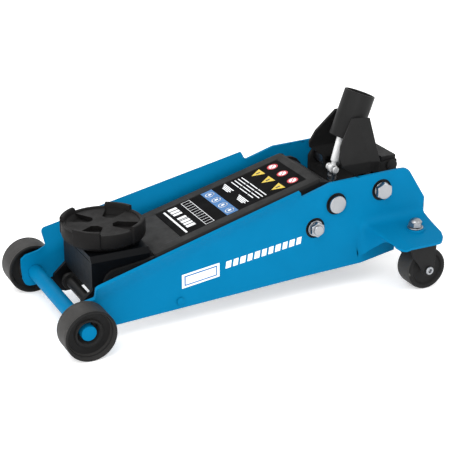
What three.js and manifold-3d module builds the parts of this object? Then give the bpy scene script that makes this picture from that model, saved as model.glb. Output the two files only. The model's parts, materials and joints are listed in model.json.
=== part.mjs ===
// Trolley jack: a long pressed-steel frame on two front wheels and two swivel casters, with a
// lifting arm, a saddle that levelling links keep upright, a hydraulic unit and a handle socket.
// Millimetres. X runs forward, Y to the left, Z up. Heights are from the floor, and lengths are
// measured from the front axle; the last lines move the origin to the middle of the footprint.
import * as THREE from "three";
import { mergeVertices } from "three/addons/utils/BufferGeometryUtils.js";
import Module from "manifold-3d";

const wasm = await Module();
wasm.setup();

// ---------------------------------------------------------------- driving dimensions
const GAP = 0.3; // clearance between touching pieces
const RUN = 0.35; // radial clearance of a pin in its hole

// front axle and wheels
const WHEEL_R = 39, WHEEL_INNER_Y = 107.7, WHEEL_OUTER_Y = 148.6;
const AXLE_R = 11.5, AXLE_HALF = 137;

// side plates: outer face, thickness and outline
const PLATE_T = 5;
const PLATE_FRONT_Y = 104, PLATE_REAR_Y = 96.5;
const TAPER_FROM_X = -40, TAPER_TO_X = -360;
const FLANGE_FRONT_X = -20, FLANGE_END_X = -356;
const FLANGE_FRONT_Z = 98, FLANGE_SLOPE = 0.2454;
const FLANGE_FRONT_Y = 122.7, FLANGE_REAR_Y = 102.5;
const FLANGE_FRONT_H = 36, FLANGE_REAR_H = 16; // height of the flared strip
const PLATE_REAR_X = -583, PLATE_LOW_REAR_X = -540;
const SILL_Z = 24, SILL_SLOPE = 0.0355; // bottom edge

// pivots, as [x, z]
const ARM_PIVOT = [-423, 148], ARM_PIN_R = 11;
const SADDLE_PIN = [-73, 73], SADDLE_PIN_R = 10;
const LINK_REAR = [-386, 115], LINK_PIN_R = 8;
const LINK_FRONT = [
  SADDLE_PIN[0] + LINK_REAR[0] - ARM_PIVOT[0],
  SADDLE_PIN[1] + LINK_REAR[1] - ARM_PIVOT[1],
];
const YOKE_PIVOT = [-503, 158], YOKE_PIN_R = 8;
const TIE_ROD = [-157, 42], TIE_ROD_R = 4;

// lifting arm
const ARM_Y = [60.5, 66], ARM_LOW = 13.5;
const COVER_FRONT = [-133, 107.7], COVER_REAR_X = -412, COVER_SLOPE = 0.266;
const COVER_HALF = 69.4, COVER_T = 3, COVER_SKIRT = 17;
const LABEL_X = [-396.5, -182], LABEL_HALF = 48.8, LABEL_DEPTH = 1.2;
const LEVER_Y = [20, 28], LEVER_REST = THREE.MathUtils.degToRad(-27.5);

// saddle and its bracket
const SADDLE_X = -77, SADDLE_R = 64, SADDLE_TOP_Z = 147.6;
const BRACKET_TOP_Z = 118, BRACKET_HALF = 60, CHEEK_T = 6;
const BRACKET_X = [-127, -35];

// hydraulic unit
const REAR_PLATE_X = [-577, -572];
const UNIT_SCREW = [50, 117], UNIT_SCREW_R = 3.5; // [y, z]
const RAM_DROP = 56.6; // ram axis below the arm pivot
const RAM_REACH = 60; // ram travel for one radian of lift
const RAM_Z = ARM_PIVOT[1] - RAM_DROP;
const CROSSHEAD_X = ARM_PIVOT[0] + RAM_REACH * LEVER_REST;
const RAM_R = 14, CROSSHEAD_R = 9, CYLINDER_R = 28;
const PUMP = [-529, 24], PLUNGER_R = 6, PUMP_BASE_Z = 124.8, PLUNGER_TOP_Z = 155;

// handle socket: its axis leans back from the lower end to the upper end
const SOCKET_LOW = [-490.2, 216.2], SOCKET_HIGH = [-516.4, 286.9];
const SOCKET_R = 25, SOCKET_BORE_R = 21.5;
const ROD_LOW = [-470, 167], ROD_LEAN = THREE.MathUtils.degToRad(14.3), ROD_R = 5, ROD_LENGTH = 100;
const VALVE_R = 4;

// yoke cross bar and the roller that works the pump, as [x, z]
const YOKE_BAR = [-546, 179], YOKE_BAR_R = 6;
const ROLLER = [-529, 166], ROLLER_R = 9, ROLLER_PIN_R = 3.5;

// swivel casters
const STEM = [-544, 133], CASTER_TRAIL = 15;
const CASTER_R = 34, CASTER_W = 36;
const SHELF_Z = 107.5, SHELF_FALL = 0.22, SHELF_T = 4, LAND_Z = 100.5;
const FORK_TOP_Z = LAND_Z - 8 - GAP;

// ---------------------------------------------------------------- small geometry kit
const LEFT = 1, RIGHT = -1;
const sideName = (side) => (side === LEFT ? "left" : "right");

function solid(geometry) {
  const bare = geometry.clone();
  for (const extra of ["normal", "uv"]) bare.deleteAttribute(extra);
  const merged = mergeVertices(bare, 1e-4);
  return new wasm.Manifold(new wasm.Mesh({
    numProp: 3,
    vertProperties: merged.attributes.position.array,
    triVerts: new Uint32Array(merged.index.array),
  }));
}

function geometryOf(body) {
  const mesh = body.getMesh();
  return new THREE.BufferGeometry()
    .setAttribute("position", new THREE.BufferAttribute(mesh.vertProperties, 3))
    .setIndex(new THREE.BufferAttribute(mesh.triVerts, 1));
}

const join = (...parts) => geometryOf(parts.map(solid).reduce((sum, part) => sum.add(part)));
const cut = (part, ...tools) =>
  geometryOf(tools.map(solid).reduce((rest, tool) => rest.subtract(tool), solid(part)));

// The same shape on the other side of the jack's middle plane.
function mirrored(geometry) {
  const copy = mergeVertices(geometryOf(solid(geometry)), 1e-4).scale(1, -1, 1);
  const index = copy.index.array;
  for (let i = 0; i < index.length; i += 3) {
    [index[i + 1], index[i + 2]] = [index[i + 2], index[i + 1]];
  }
  return copy;
}
const onSide = (side, geometry) => (side === LEFT ? geometry : mirrored(geometry));

const box = (x0, x1, y0, y1, z0, z1) =>
  new THREE.BoxGeometry(x1 - x0, y1 - y0, z1 - z0)
    .translate((x0 + x1) / 2, (y0 + y1) / 2, (z0 + z1) / 2);

// Round bars along each axis.
const barY = ([x, z], r, y0, y1, sides = 16) =>
  new THREE.CylinderGeometry(r, r, y1 - y0, sides).translate(x, (y0 + y1) / 2, z);
const barX = ([y, z], r, x0, x1, sides = 16) =>
  new THREE.CylinderGeometry(r, r, x1 - x0, sides).rotateZ(Math.PI / 2)
    .translate((x0 + x1) / 2, y, z);
const barZ = ([x, y], r, z0, z1, sides = 16) =>
  new THREE.CylinderGeometry(r, r, z1 - z0, sides).rotateX(Math.PI / 2)
    .translate(x, y, (z0 + z1) / 2);

// A plate drawn in the X-Z plane and given its thickness along Y.
function plateXZ(points, y0, y1) {
  const shape = new THREE.Shape(points.map(([x, z]) => new THREE.Vector2(x, z)));
  return new THREE.ExtrudeGeometry(shape, { depth: y1 - y0, bevelEnabled: false })
    .rotateX(Math.PI / 2).translate(0, y1, 0);
}

// A bar whose cross section is drawn in the Y-Z plane, along X.
function sectionX(points, x0, x1) {
  const shape = new THREE.Shape(points.map(([y, z]) => new THREE.Vector2(y, z)));
  return new THREE.ExtrudeGeometry(shape, { depth: x1 - x0, bevelEnabled: false })
    .rotateX(Math.PI / 2).rotateZ(Math.PI / 2).translate(x0, 0, 0);
}

// A round body turned about the Y axis through [x, z], from (radius, y) points.
const turnedY = ([x, z], profile, sides = 20) =>
  new THREE.LatheGeometry(profile.map(([r, y]) => new THREE.Vector2(r, y)), sides)
    .translate(x, 0, z);
const turnedZ = ([x, y], profile, sides = 20) =>
  new THREE.LatheGeometry(profile.map(([r, z]) => new THREE.Vector2(r, z)), sides)
    .rotateX(Math.PI / 2).translate(x, y, 0);

// Points on an arc about [x, z], angles in degrees from +X towards +Z.
function arc([x, z], r, from, to, steps = 6) {
  return Array.from({ length: steps + 1 }, (_, i) => {
    const a = THREE.MathUtils.degToRad(from + ((to - from) * i) / steps);
    return [x + r * Math.cos(a), z + r * Math.sin(a)];
  });
}

// A straight bar with round ends between two pivots, as a plate.
function strap(a, b, r, y0, y1) {
  const lean = THREE.MathUtils.radToDeg(Math.atan2(b[1] - a[1], b[0] - a[0]));
  return plateXZ([...arc(a, r, lean + 90, lean + 270), ...arc(b, r, lean - 90, lean + 90)], y0, y1);
}

const mix = (a, b, t) => a + (b - a) * t;
const clamp01 = (t) => Math.min(1, Math.max(0, t));
const coverZ = (x) => COVER_FRONT[1] + (COVER_FRONT[0] - x) * COVER_SLOPE;

// ---------------------------------------------------------------- the jack's group of meshes
const jack = new THREE.Group();

function add(name, geometry, { color, roughness, metalness }) {
  const material = new THREE.MeshStandardMaterial({ color, roughness, metalness });
  const mesh = new THREE.Mesh(geometry, material);
  mesh.name = name;
  jack.add(mesh);
}

const BLUE = { color: 0x0086c4, roughness: 0.35, metalness: 0 };
const BLACK = { color: 0x242526, roughness: 0.45, metalness: 0 };
const CAST = { color: 0x1d1e20, roughness: 0.6, metalness: 0.3 };
const TYRE = { color: 0x2f3032, roughness: 0.6, metalness: 0 };
const ZINC = { color: 0xb9bcc0, roughness: 0.3, metalness: 1 };
const STEEL = { color: 0x8a8d90, roughness: 0.35, metalness: 1 };

// ---------------------------------------------------------------- frame
const plateY = (x) =>
  mix(PLATE_FRONT_Y, PLATE_REAR_Y, clamp01((x - TAPER_FROM_X) / (TAPER_TO_X - TAPER_FROM_X)));
const sillZ = (x) => SILL_Z - x * SILL_SLOPE;
const flangeShare = (x) => clamp01((x - FLANGE_FRONT_X) / (FLANGE_END_X - FLANGE_FRONT_X));

// Top edge behind the flange: up to a crown, level, then a chamfer down to the rear edge.
const REAR_TOP = [[FLANGE_END_X - 6.5, 174], [-409, 185.4], [-549, 187.4], [PLATE_REAR_X, 133]];

function topZ(x) {
  if (x >= FLANGE_END_X) return FLANGE_FRONT_Z + (FLANGE_FRONT_X - x) * FLANGE_SLOPE;
  const next = REAR_TOP.findIndex(([px]) => px <= x);
  if (next === 0) return REAR_TOP[0][1];
  const [a, b] = [REAR_TOP[next - 1], REAR_TOP[next]];
  return mix(a[1], b[1], (x - a[0]) / (b[0] - a[0]));
}

// A thin sheet bent from a grid: one column per station in x, six rows from sill to top edge.
function pressedPlate() {
  const stations = [PLATE_REAR_X, -549, -540, -505, -470, -409];
  stations.push(REAR_TOP[0][0]);
  const flangeSteps = 6;
  for (let i = 0; i <= flangeSteps; i++) {
    stations.push(mix(FLANGE_END_X, FLANGE_FRONT_X, i / flangeSteps));
  }
  const rows = 5;
  const plainCrease = 110; // height of the third row where there is no flange
  const railInset = 15.5; // the lower rail slants inboard to clear the turning caster
  const sheet = new THREE.BoxGeometry(1, 1, 1, stations.length - 1, 1, rows);
  const place = sheet.attributes.position;
  for (let i = 0; i < place.count; i++) {
    const x = stations[Math.round((place.getX(i) + 0.5) * (stations.length - 1))];
    const row = Math.round((place.getZ(i) + 0.5) * rows);
    const share = flangeShare(x);
    const flanged = x >= FLANGE_END_X;
    const strip = flanged ? mix(FLANGE_FRONT_H, FLANGE_REAR_H, share) : 0;
    const crease = flanged ? topZ(x) - strip : plainCrease;
    const flare = flanged ? mix(FLANGE_FRONT_Y, FLANGE_REAR_Y, share) - plateY(x) : 0;
    const heights = [sillZ(x), mix(sillZ(x), crease, 0.45), mix(sillZ(x), crease, 0.65),
      crease, mix(crease, topZ(x), 0.2), topZ(x)];
    const inset = row < 2 ? railInset * clamp01((x + 470) / -70) : 0;
    const lean = [0, 0, 0, 0, 0.1, 1][row] * flare;
    const outer = place.getY(i) > 0 ? 0 : PLATE_T;
    place.setXYZ(i, x, plateY(x) + lean - inset - outer, heights[row]);
  }
  return sheet;
}

function casterShelf() {
  const inner = PLATE_REAR_Y - 3;
  const outline = [[PLATE_REAR_X, inner], [PLATE_REAR_X + 1, 152],
    ...arc([-556, 152], 26, 180, 90, 5), [-512, 178], [-498, 173], [-489, 162], [-484, 146],
    [-478, 118], [-468, inner]].reverse();
  const shape = new THREE.Shape(outline.map(([x, y]) => new THREE.Vector2(x, y)));
  const shelf = new THREE.ExtrudeGeometry(shape, { depth: SHELF_T, bevelEnabled: false });
  const place = shelf.attributes.position;
  for (let i = 0; i < place.count; i++) {
    const fall = (place.getY(i) - PLATE_REAR_Y) * SHELF_FALL;
    place.setZ(i, place.getZ(i) + SHELF_Z - SHELF_T - fall);
  }
  return shelf;
}

// The web under the shelf's front end: it runs out from the plate to the shelf's corner.
function shelfWeb() {
  const inner = PLATE_REAR_Y - 3;
  const web = sectionX([[inner, 56], [inner + 4, 56], [170, 86], [170, 88.5], [inner, 105]], -472, -468);
  const place = web.attributes.position;
  for (let i = 0; i < place.count; i++) {
    place.setX(i, place.getX(i) - (place.getY(i) - inner) * 0.23);
  }
  return web;
}

function axleBoss() {
  const outline = [[-60, 45], [-60, SILL_Z + 2], [-6, 19], [2, 16.6], [11, 16.8], [17.2, 20.5],
    [20, 28.4], [21.7, 48], [21.2, 62.6], [-18.3, 76], [-60, 80]];
  return plateXZ(outline, PLATE_FRONT_Y - PLATE_T, PLATE_FRONT_Y);
}

function sidePlate() {
  const deep = [PLATE_REAR_Y - 30, FLANGE_FRONT_Y];
  const under = box(PLATE_REAR_X - 9, PLATE_LOW_REAR_X, deep[0], PLATE_REAR_Y + 1, 20, 101);
  const sheet = cut(pressedPlate(), under);
  const land = barZ(STEM, 15, LAND_Z - 8, LAND_Z);
  const whole = join(sheet, casterShelf(), shelfWeb(), axleBoss(), land);
  return cut(whole, barZ(STEM, 15, LAND_Z, LAND_Z + 20),
    barY([0, WHEEL_R], AXLE_R + GAP, ...deep),
    barY(ARM_PIVOT, ARM_PIN_R + GAP, ...deep),
    barY(LINK_REAR, LINK_PIN_R + GAP, ...deep),
    barY(YOKE_PIVOT, YOKE_PIN_R + GAP, ...deep),
    barY(TIE_ROD, TIE_ROD_R + GAP, ...deep, 16),
    barZ(STEM, 7.5, LAND_Z - 20, LAND_Z + 5));
}

for (const side of [LEFT, RIGHT]) {
  add(`side_plate_${sideName(side)}`, onSide(side, sidePlate()), BLUE);
}
add("front_axle", barY([0, WHEEL_R], AXLE_R, -AXLE_HALF, AXLE_HALF, 20), BLUE);

function tieRod() {
  const reach = plateY(TIE_ROD[0]);
  return join(barY(TIE_ROD, TIE_ROD_R, -reach - 2, reach + 2, 16),
    ...[LEFT, RIGHT].map((side) => onSide(side, barY(TIE_ROD, 6.5, reach + 1, reach + 3, 16))));
}
add("front_tie_rod", tieRod(), BLUE);

const inside = PLATE_REAR_Y - PLATE_T - GAP; // reach of a piece that spans the frame
function rearPlate() {
  const plate = box(...REAR_PLATE_X, -inside, inside, 104, 136);
  const lip = box(REAR_PLATE_X[1] - 1, REAR_PLATE_X[1] + 5, -inside, inside, 132, 136);
  const screwHoles = [LEFT, RIGHT].map((side) =>
    barX([side * UNIT_SCREW[0], UNIT_SCREW[1]], UNIT_SCREW_R + GAP, -590, -560, 16));
  return cut(join(plate, lip), ...screwHoles);
}
add("rear_cross_plate", rearPlate(), BLACK);

// ---------------------------------------------------------------- front wheels
function frontWheel() {
  const bore = AXLE_R + RUN;
  const [y0, y1] = [WHEEL_INNER_Y, WHEEL_OUTER_Y];
  const profile = [[bore, y0 + 3], [19, y0 + 3], [21, y0 + 9], [33, y0 + 9], [35, y0],
    [WHEEL_R - 1.5, y0], [WHEEL_R, y0 + 1.5], [WHEEL_R, y1 - 1.5], [WHEEL_R - 1.5, y1],
    [WHEEL_R - 4, y1], [WHEEL_R - 7, y1 - 12], [bore, y1 - 12], [bore, y0 + 3]];
  return turnedY([0, WHEEL_R], profile, 26);
}
function wheelSpacer() {
  const [y0, y1] = [PLATE_FRONT_Y + GAP, WHEEL_INNER_Y + 3 - GAP];
  const [r0, r1] = [AXLE_R + GAP, 17];
  return turnedY([0, WHEEL_R], [[r0, y0], [r1, y0], [r1, y1], [r0, y1], [r0, y0]], 20);
}
for (const side of [LEFT, RIGHT]) {
  add(`front_wheel_${sideName(side)}`, onSide(side, frontWheel()), TYRE);
  add(`wheel_spacer_${sideName(side)}`, onSide(side, wheelSpacer()), STEEL);
}

// ---------------------------------------------------------------- casters
const CASTER_AXLE = [STEM[0] - CASTER_TRAIL, CASTER_R];

function casterFork() {
  const [sx, sy] = STEM;
  const cheek = CASTER_W / 2 + 1.5;
  const outline = [[sx - 27, FORK_TOP_Z - 7], [sx - 27, FORK_TOP_Z - 16], ...arc(CASTER_AXLE, 10, 190, 350, 8),
    [sx + 17, FORK_TOP_Z - 26], [sx + 21, FORK_TOP_Z - 7]];
  const cheeks = [-cheek - 3, cheek].map((y) => plateXZ(outline, sy + y, sy + y + 3));
  const bridge = box(sx - 27, sx + 21, sy - cheek - 3, sy + cheek + 3,
    FORK_TOP_Z - 11, FORK_TOP_Z - 7);
  const race = turnedZ(STEM, [[0, FORK_TOP_Z - 9], [22, FORK_TOP_Z - 9], [24, FORK_TOP_Z - 6],
    [19, FORK_TOP_Z - 2.5], [13, FORK_TOP_Z], [0, FORK_TOP_Z]], 20);
  const stem = barZ(STEM, 6.5, FORK_TOP_Z - 2, LAND_Z + 6, 20);
  return cut(join(...cheeks, bridge, race, stem),
    barY(CASTER_AXLE, 4 + GAP, sy - 40, sy + 40, 16));
}

function casterNut() {
  const z0 = LAND_Z + GAP;
  const hex = new THREE.CylinderGeometry(11, 11, 8, 6).rotateX(Math.PI / 2)
    .translate(...STEM, z0 + 5.5);
  const washer = barZ(STEM, 12.5, z0, z0 + 2);
  const dome = turnedZ(STEM, [[0, z0 + 9], [9, z0 + 9], [8, z0 + 12], [5, z0 + 14], [0, z0 + 15]], 20);
  return cut(join(hex, washer, dome), barZ(STEM, 6.5 + GAP, z0 - 3, LAND_Z + 6 + GAP, 20));
}

function casterWheel() {
  const [half, r] = [CASTER_W / 2, CASTER_R];
  const bore = 4 + RUN;
  const profile = [[bore, -half], [9, -half], [10, 4 - half], [r - 8, 4 - half], [r - 6, -half],
    [r - 2.5, -half], [r, 2.5 - half], [r, half - 2.5], [r - 2.5, half], [r - 6, half],
    [r - 8, half - 4], [10, half - 4], [9, half], [bore, half], [bore, -half]];
  return turnedY(CASTER_AXLE, profile, 20).translate(0, STEM[1], 0);
}

function casterAxle() {
  const reach = CASTER_W / 2 + 4.5 + GAP;
  const head = (y) => new THREE.CylinderGeometry(7.5, 7.5, 5, 6)
    .translate(CASTER_AXLE[0], STEM[1] + y, CASTER_AXLE[1]);
  return join(barY(CASTER_AXLE, 4, STEM[1] - reach - 1, STEM[1] + reach + 7, 16),
    head(reach + 2.5), head(-reach - 2.5));
}
for (const side of [LEFT, RIGHT]) {
  add(`caster_fork_${sideName(side)}`, onSide(side, casterFork()), BLACK);
  add(`caster_wheel_${sideName(side)}`, onSide(side, casterWheel()), TYRE);
  add(`caster_axle_${sideName(side)}`, onSide(side, casterAxle()), ZINC);
  add(`caster_nut_${sideName(side)}`, onSide(side, casterNut()), ZINC);
}

// ---------------------------------------------------------------- lifting arm
const armLean = THREE.MathUtils.radToDeg(
  Math.atan2(SADDLE_PIN[1] - ARM_PIVOT[1], SADDLE_PIN[0] - ARM_PIVOT[0]));

function armPlate() {
  const underCover = (x) => coverZ(x) - COVER_T - GAP;
  const below = THREE.MathUtils.degToRad(armLean - 90);
  const low = ([x, z], along) => [
    x + along * Math.cos(THREE.MathUtils.degToRad(armLean)) + ARM_LOW * Math.cos(below),
    z + along * Math.sin(THREE.MathUtils.degToRad(armLean)) + ARM_LOW * Math.sin(below)];
  const outline = [low(ARM_PIVOT, 30), low(SADDLE_PIN, -22),
    ...arc(SADDLE_PIN, 22, armLean - 118, 70, 8), [-118, underCover(-118)],
    [-402, underCover(-402)], ...arc(ARM_PIVOT, 26, 105, 290, 8)];
  return cut(plateXZ(outline, ...ARM_Y),
    barY(ARM_PIVOT, ARM_PIN_R + GAP, 50, 80), barY(SADDLE_PIN, SADDLE_PIN_R + GAP, 50, 80));
}

// The cover is drawn level, then tilted with the arm's top line.
function armCover() {
  const rise = (x) => coverZ(x);
  const long = [COVER_REAR_X, COVER_FRONT[0]];
  const top = box(...long, -COVER_HALF, COVER_HALF, -COVER_T, 0);
  const skirts = [-COVER_HALF, COVER_HALF - 2.6].map((y) =>
    box(...long, y, y + 2.6, -COVER_SKIRT, -COVER_T + 1));
  const tail = box(COVER_REAR_X, COVER_REAR_X + 2.6, 2 - ARM_Y[0], ARM_Y[0] - 2, -COVER_SKIRT + 5,
    -COVER_T + 1);
  const panel = box(...LABEL_X, -LABEL_HALF, LABEL_HALF, -LABEL_DEPTH, 5);
  const cover = cut(join(top, ...skirts, tail), panel,
    ...[LEFT, RIGHT].map((side) => onSide(side, coverCorner())));
  const place = cover.attributes.position;
  for (let i = 0; i < place.count; i++) place.setZ(i, place.getZ(i) + rise(place.getX(i)));
  return cover;
}

// What a rounded rear corner takes off the cover.
function coverCorner() {
  const r = 8;
  const block = box(COVER_REAR_X - 5, COVER_REAR_X + r, COVER_HALF - r, COVER_HALF + 5, -30, 10);
  return cut(block, barZ([COVER_REAR_X + r, COVER_HALF - r], r, -40, 20, 24));
}

function armLever() {
  const reach = ARM_Y[0] - GAP;
  const tube = barY(ARM_PIVOT, 22, -reach, reach, 20);
  const at = (r) => [ARM_PIVOT[0] + r * Math.sin(LEVER_REST), ARM_PIVOT[1] - r * Math.cos(LEVER_REST)];
  const cheeks = [LEVER_Y, LEVER_Y.map((y) => -y).reverse()].map(([y0, y1]) =>
    strap(ARM_PIVOT, at(62), 19, y0, y1));
  const slot = strap(at(RAM_DROP - 1.5), at(65.5), CROSSHEAD_R + 1.1, -40, 40);
  return cut(join(tube, ...cheeks), slot, barY(ARM_PIVOT, ARM_PIN_R + GAP, -70, 70));
}

function pivotShaft() {
  const face = PLATE_REAR_Y + GAP;
  const shank = barY(ARM_PIVOT, ARM_PIN_R, -face - 1, face + 1);
  const head = turnedY(ARM_PIVOT, [[0, face], [14, face], [14, face + 3], [12.5, face + 4.5],
    [0, face + 4.5]], 20);
  return join(shank, head, mirrored(head));
}

function pivotSpacer() {
  const [y0, y1] = [ARM_Y[1] + GAP, plateY(ARM_PIVOT[0]) - PLATE_T - GAP];
  const [r0, r1] = [ARM_PIN_R + GAP, 16];
  return turnedY(ARM_PIVOT, [[r0, y0], [r1, y0], [r1, y1], [r0, y1], [r0, y0]], 20);
}

for (const side of [LEFT, RIGHT]) {
  add(`arm_plate_${sideName(side)}`, onSide(side, armPlate()), BLACK);
  add(`pivot_spacer_${sideName(side)}`, onSide(side, pivotSpacer()), STEEL);
}
add("arm_cover", armCover(), BLACK);
add("arm_lever", armLever(), BLACK);
add("arm_pivot_shaft", pivotShaft(), ZINC);

// ---------------------------------------------------------------- saddle bracket and saddle
function saddleBracket() {
  const [half, z] = [BRACKET_HALF, BRACKET_TOP_Z];
  const inner = half - CHEEK_T;
  const roof = sectionX([[-half, z - 18], [-half, z - 9], [-half + 5, z], [half - 5, z],
    [half, z - 9], [half, z - 18], [inner, z - 18], [inner, z - 8], [-inner, z - 8],
    [-inner, z - 18]].reverse(), ...BRACKET_X);
  const outline = [[BRACKET_X[0], z - 16], [BRACKET_X[0], z - 30], [-104, 72],
    ...arc(SADDLE_PIN, 20, 215, 262, 3), ...arc(LINK_FRONT, 22, 215, 385, 8),
    [BRACKET_X[1], 66], [BRACKET_X[1], z - 16]];
  const cheeks = [-half, inner].map((y) => plateXZ(outline, y, y + CHEEK_T));
  const panel = box(BRACKET_X[1] - 4, BRACKET_X[1], -half, half, 61, z - 9);
  return cut(join(roof, ...cheeks, panel),
    barY(SADDLE_PIN, SADDLE_PIN_R + GAP, -70, 70), barY(LINK_FRONT, LINK_PIN_R + GAP, -70, 70),
    barZ([SADDLE_X, 0], 17.5, 90, 130, 20));
}

function saddle() {
  const [r, z] = [SADDLE_R, SADDLE_TOP_Z];
  const bowl = turnedZ([SADDLE_X, 0], [[0, BRACKET_TOP_Z + GAP], [50, BRACKET_TOP_Z + GAP],
    [r - 2, z - 22], [r, z - 19], [r, z], [r - 5, z], [r - 8, z - 9], [0, z - 9]], 24);
  const post = barZ([SADDLE_X, 0], 17, BRACKET_TOP_Z - 17, BRACKET_TOP_Z + 1, 20);
  const crossArms = [0, Math.PI / 2].map((turn) =>
    box(-r + 6, r - 6, -15, 15, z - 10, z - 2).rotateZ(turn).translate(SADDLE_X, 0, 0));
  const lugs = Array.from({ length: 4 }, (_, i) =>
    box(r - 11, r - 4, -19, 19, z - 12, z + 5.5).rotateZ(((i + 0.5) * Math.PI) / 2)
      .translate(SADDLE_X, 0, 0));
  return join(bowl, post, ...crossArms, ...lugs);
}

function saddleRing() {
  const [z0, z1] = [BRACKET_TOP_Z - 15, BRACKET_TOP_Z - 8 - GAP];
  return turnedZ([SADDLE_X, 0], [[17.3, z0], [23, z0], [23, z1], [17.3, z1], [17.3, z0]], 20);
}

function headedPin(centre, r, reach, headR, headT) {
  const shank = barY(centre, r, -reach - 1, reach + 1);
  const head = turnedY(centre, [[0, reach], [headR, reach], [headR, reach + headT - 1],
    [headR - 1, reach + headT], [0, reach + headT]], 20);
  return join(shank, head, mirrored(head));
}

add("saddle_bracket", saddleBracket(), BLACK);
add("saddle", saddle(), CAST);
add("saddle_retaining_ring", saddleRing(), STEEL);
add("saddle_pin", headedPin(SADDLE_PIN, SADDLE_PIN_R, ARM_Y[1] + GAP, 13, 3), STEEL);
add("link_cross_rod", headedPin(LINK_FRONT, LINK_PIN_R, BRACKET_HALF + GAP, 10, 2.5), BLACK);

// ---------------------------------------------------------------- levelling links
const LINK_Y = [37, 43];
function levellingLink() {
  return cut(strap(LINK_REAR, LINK_FRONT, 13, ...LINK_Y),
    barY(LINK_REAR, LINK_PIN_R + GAP, 30, 50), barY(LINK_FRONT, LINK_PIN_R + GAP, 30, 50));
}

// The bolt carries the link on a shoulder, passes the side plate and takes the nut outside.
function linkBolt() {
  const face = PLATE_REAR_Y;
  const collar = turnedY(LINK_REAR, [[0, LINK_Y[1] + GAP], [9, LINK_Y[1] + GAP],
    [9, face - PLATE_T - GAP], [0, face - PLATE_T - GAP]], 20);
  const head = barY(LINK_REAR, 11, LINK_Y[0] - 4, LINK_Y[0] - GAP, 6);
  return join(barY(LINK_REAR, LINK_PIN_R, LINK_Y[0] - 2, face + 13), collar, head);
}

function hexNut(centre, face, acrossR, thick, bore) {
  const hex = new THREE.CylinderGeometry(acrossR, acrossR, thick, 6)
    .translate(centre[0], face + 2 + thick / 2 - 0.5, centre[1]);
  const washer = barY(centre, acrossR + 1, face, face + 2, 20);
  return cut(join(hex, washer), barY(centre, bore + GAP, face - 5, face + thick + 9));
}
for (const side of [LEFT, RIGHT]) {
  add(`levelling_link_${sideName(side)}`, onSide(side, levellingLink()), BLACK);
  add(`link_bolt_${sideName(side)}`, onSide(side, linkBolt()), ZINC);
  add(`link_nut_${sideName(side)}`,
    onSide(side, hexNut(LINK_REAR, PLATE_REAR_Y + GAP, 13, 9, LINK_PIN_R)), ZINC);
}

// ---------------------------------------------------------------- hydraulic unit
const UNIT_X = [-568, -512], UNIT_Z = [58, 122], UNIT_HALF = 40;
const CYLINDER_X = [-518, -476];
const SNOUT_Z = [125.5, 131];

function cylinderTube() {
  const tube = barX([0, RAM_Z], CYLINDER_R, ...CYLINDER_X, 24);
  return cut(tube, barX([0, RAM_Z], RAM_R + GAP, -600, -400, 20));
}
function hydraulicBlock() {
  const [rear, front] = UNIT_X;
  const [low, top] = UNIT_Z;
  const block = box(rear, front, -UNIT_HALF, UNIT_HALF, low, top);
  const ears = [LEFT, RIGHT].map((side) =>
    onSide(side, box(REAR_PLATE_X[1] + GAP, rear + 14, 20, 60, top - 10, top)));
  const springPosts = [LEFT, RIGHT].map((side) =>
    onSide(side, barY([front - 7, RAM_Z], 4, UNIT_HALF - 2, 52, 16)));
  const barrel = barZ(PUMP, 12, top - 2, PUMP_BASE_Z - GAP);
  const riser = box(front - 4.5, front, -12, 12, top - 2, SNOUT_Z[1]);
  const snout = box(front - 4.5, ROD_LOW[0] + 12, -12, 12, ...SNOUT_Z);
  const seat = barZ([ROD_LOW[0], 0], 10, SNOUT_Z[0], SNOUT_Z[1] + 3);
  return cut(join(block, ...ears, ...springPosts, barrel, riser, snout, seat),
    barX([0, RAM_Z], CYLINDER_R + GAP, CYLINDER_X[0] - GAP, -440, 24),
    barX([0, RAM_Z], RAM_R + GAP, -560, -500, 20),
    barZ(PUMP, PLUNGER_R + GAP, 78, 150, 20),
    barZ([ROD_LOW[0], 0], VALVE_R + GAP, 120, 150, 16),
    ...[LEFT, RIGHT].map((side) =>
      barX([side * UNIT_SCREW[0], UNIT_SCREW[1]], UNIT_SCREW_R + GAP, -600, -500, 16)));
}
function reservoir() {
  const outer = barX([0, RAM_Z], 37, UNIT_X[1] + GAP, -486, 26);
  const flat = box(UNIT_X[1] - 5, -480, -40, 40, SNOUT_Z[0] - 1, 140);
  return cut(outer, barX([0, RAM_Z], CYLINDER_R + GAP, -580, -470, 24), flat);
}
function glandNut() {
  const nut = barX([0, RAM_Z], 33, -485.5, -478, 8);
  return cut(nut, barX([0, RAM_Z], CYLINDER_R + GAP, -500, -470, 24));
}
function ram() {
  const rod = barX([0, RAM_Z], RAM_R, -540, CROSSHEAD_X - 8, 20);
  const eye = box(CROSSHEAD_X - 15, CROSSHEAD_X + 14, -17, 17, RAM_Z - 14, RAM_Z + 14);
  return cut(join(rod, eye), barY([CROSSHEAD_X, RAM_Z], CROSSHEAD_R + GAP, -30, 30));
}
function unitScrew() {
  const shank = barX(UNIT_SCREW, UNIT_SCREW_R, REAR_PLATE_X[0] - 1, UNIT_X[0] + 12, 12);
  const head = barX(UNIT_SCREW, 6.5, REAR_PLATE_X[0] - GAP - 5, REAR_PLATE_X[0] - GAP, 6);
  return join(shank, head);
}
function returnSpring() {
  return barX([46, RAM_Z], 6, UNIT_X[1] + 1, CROSSHEAD_X - 12, 12);
}

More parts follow.
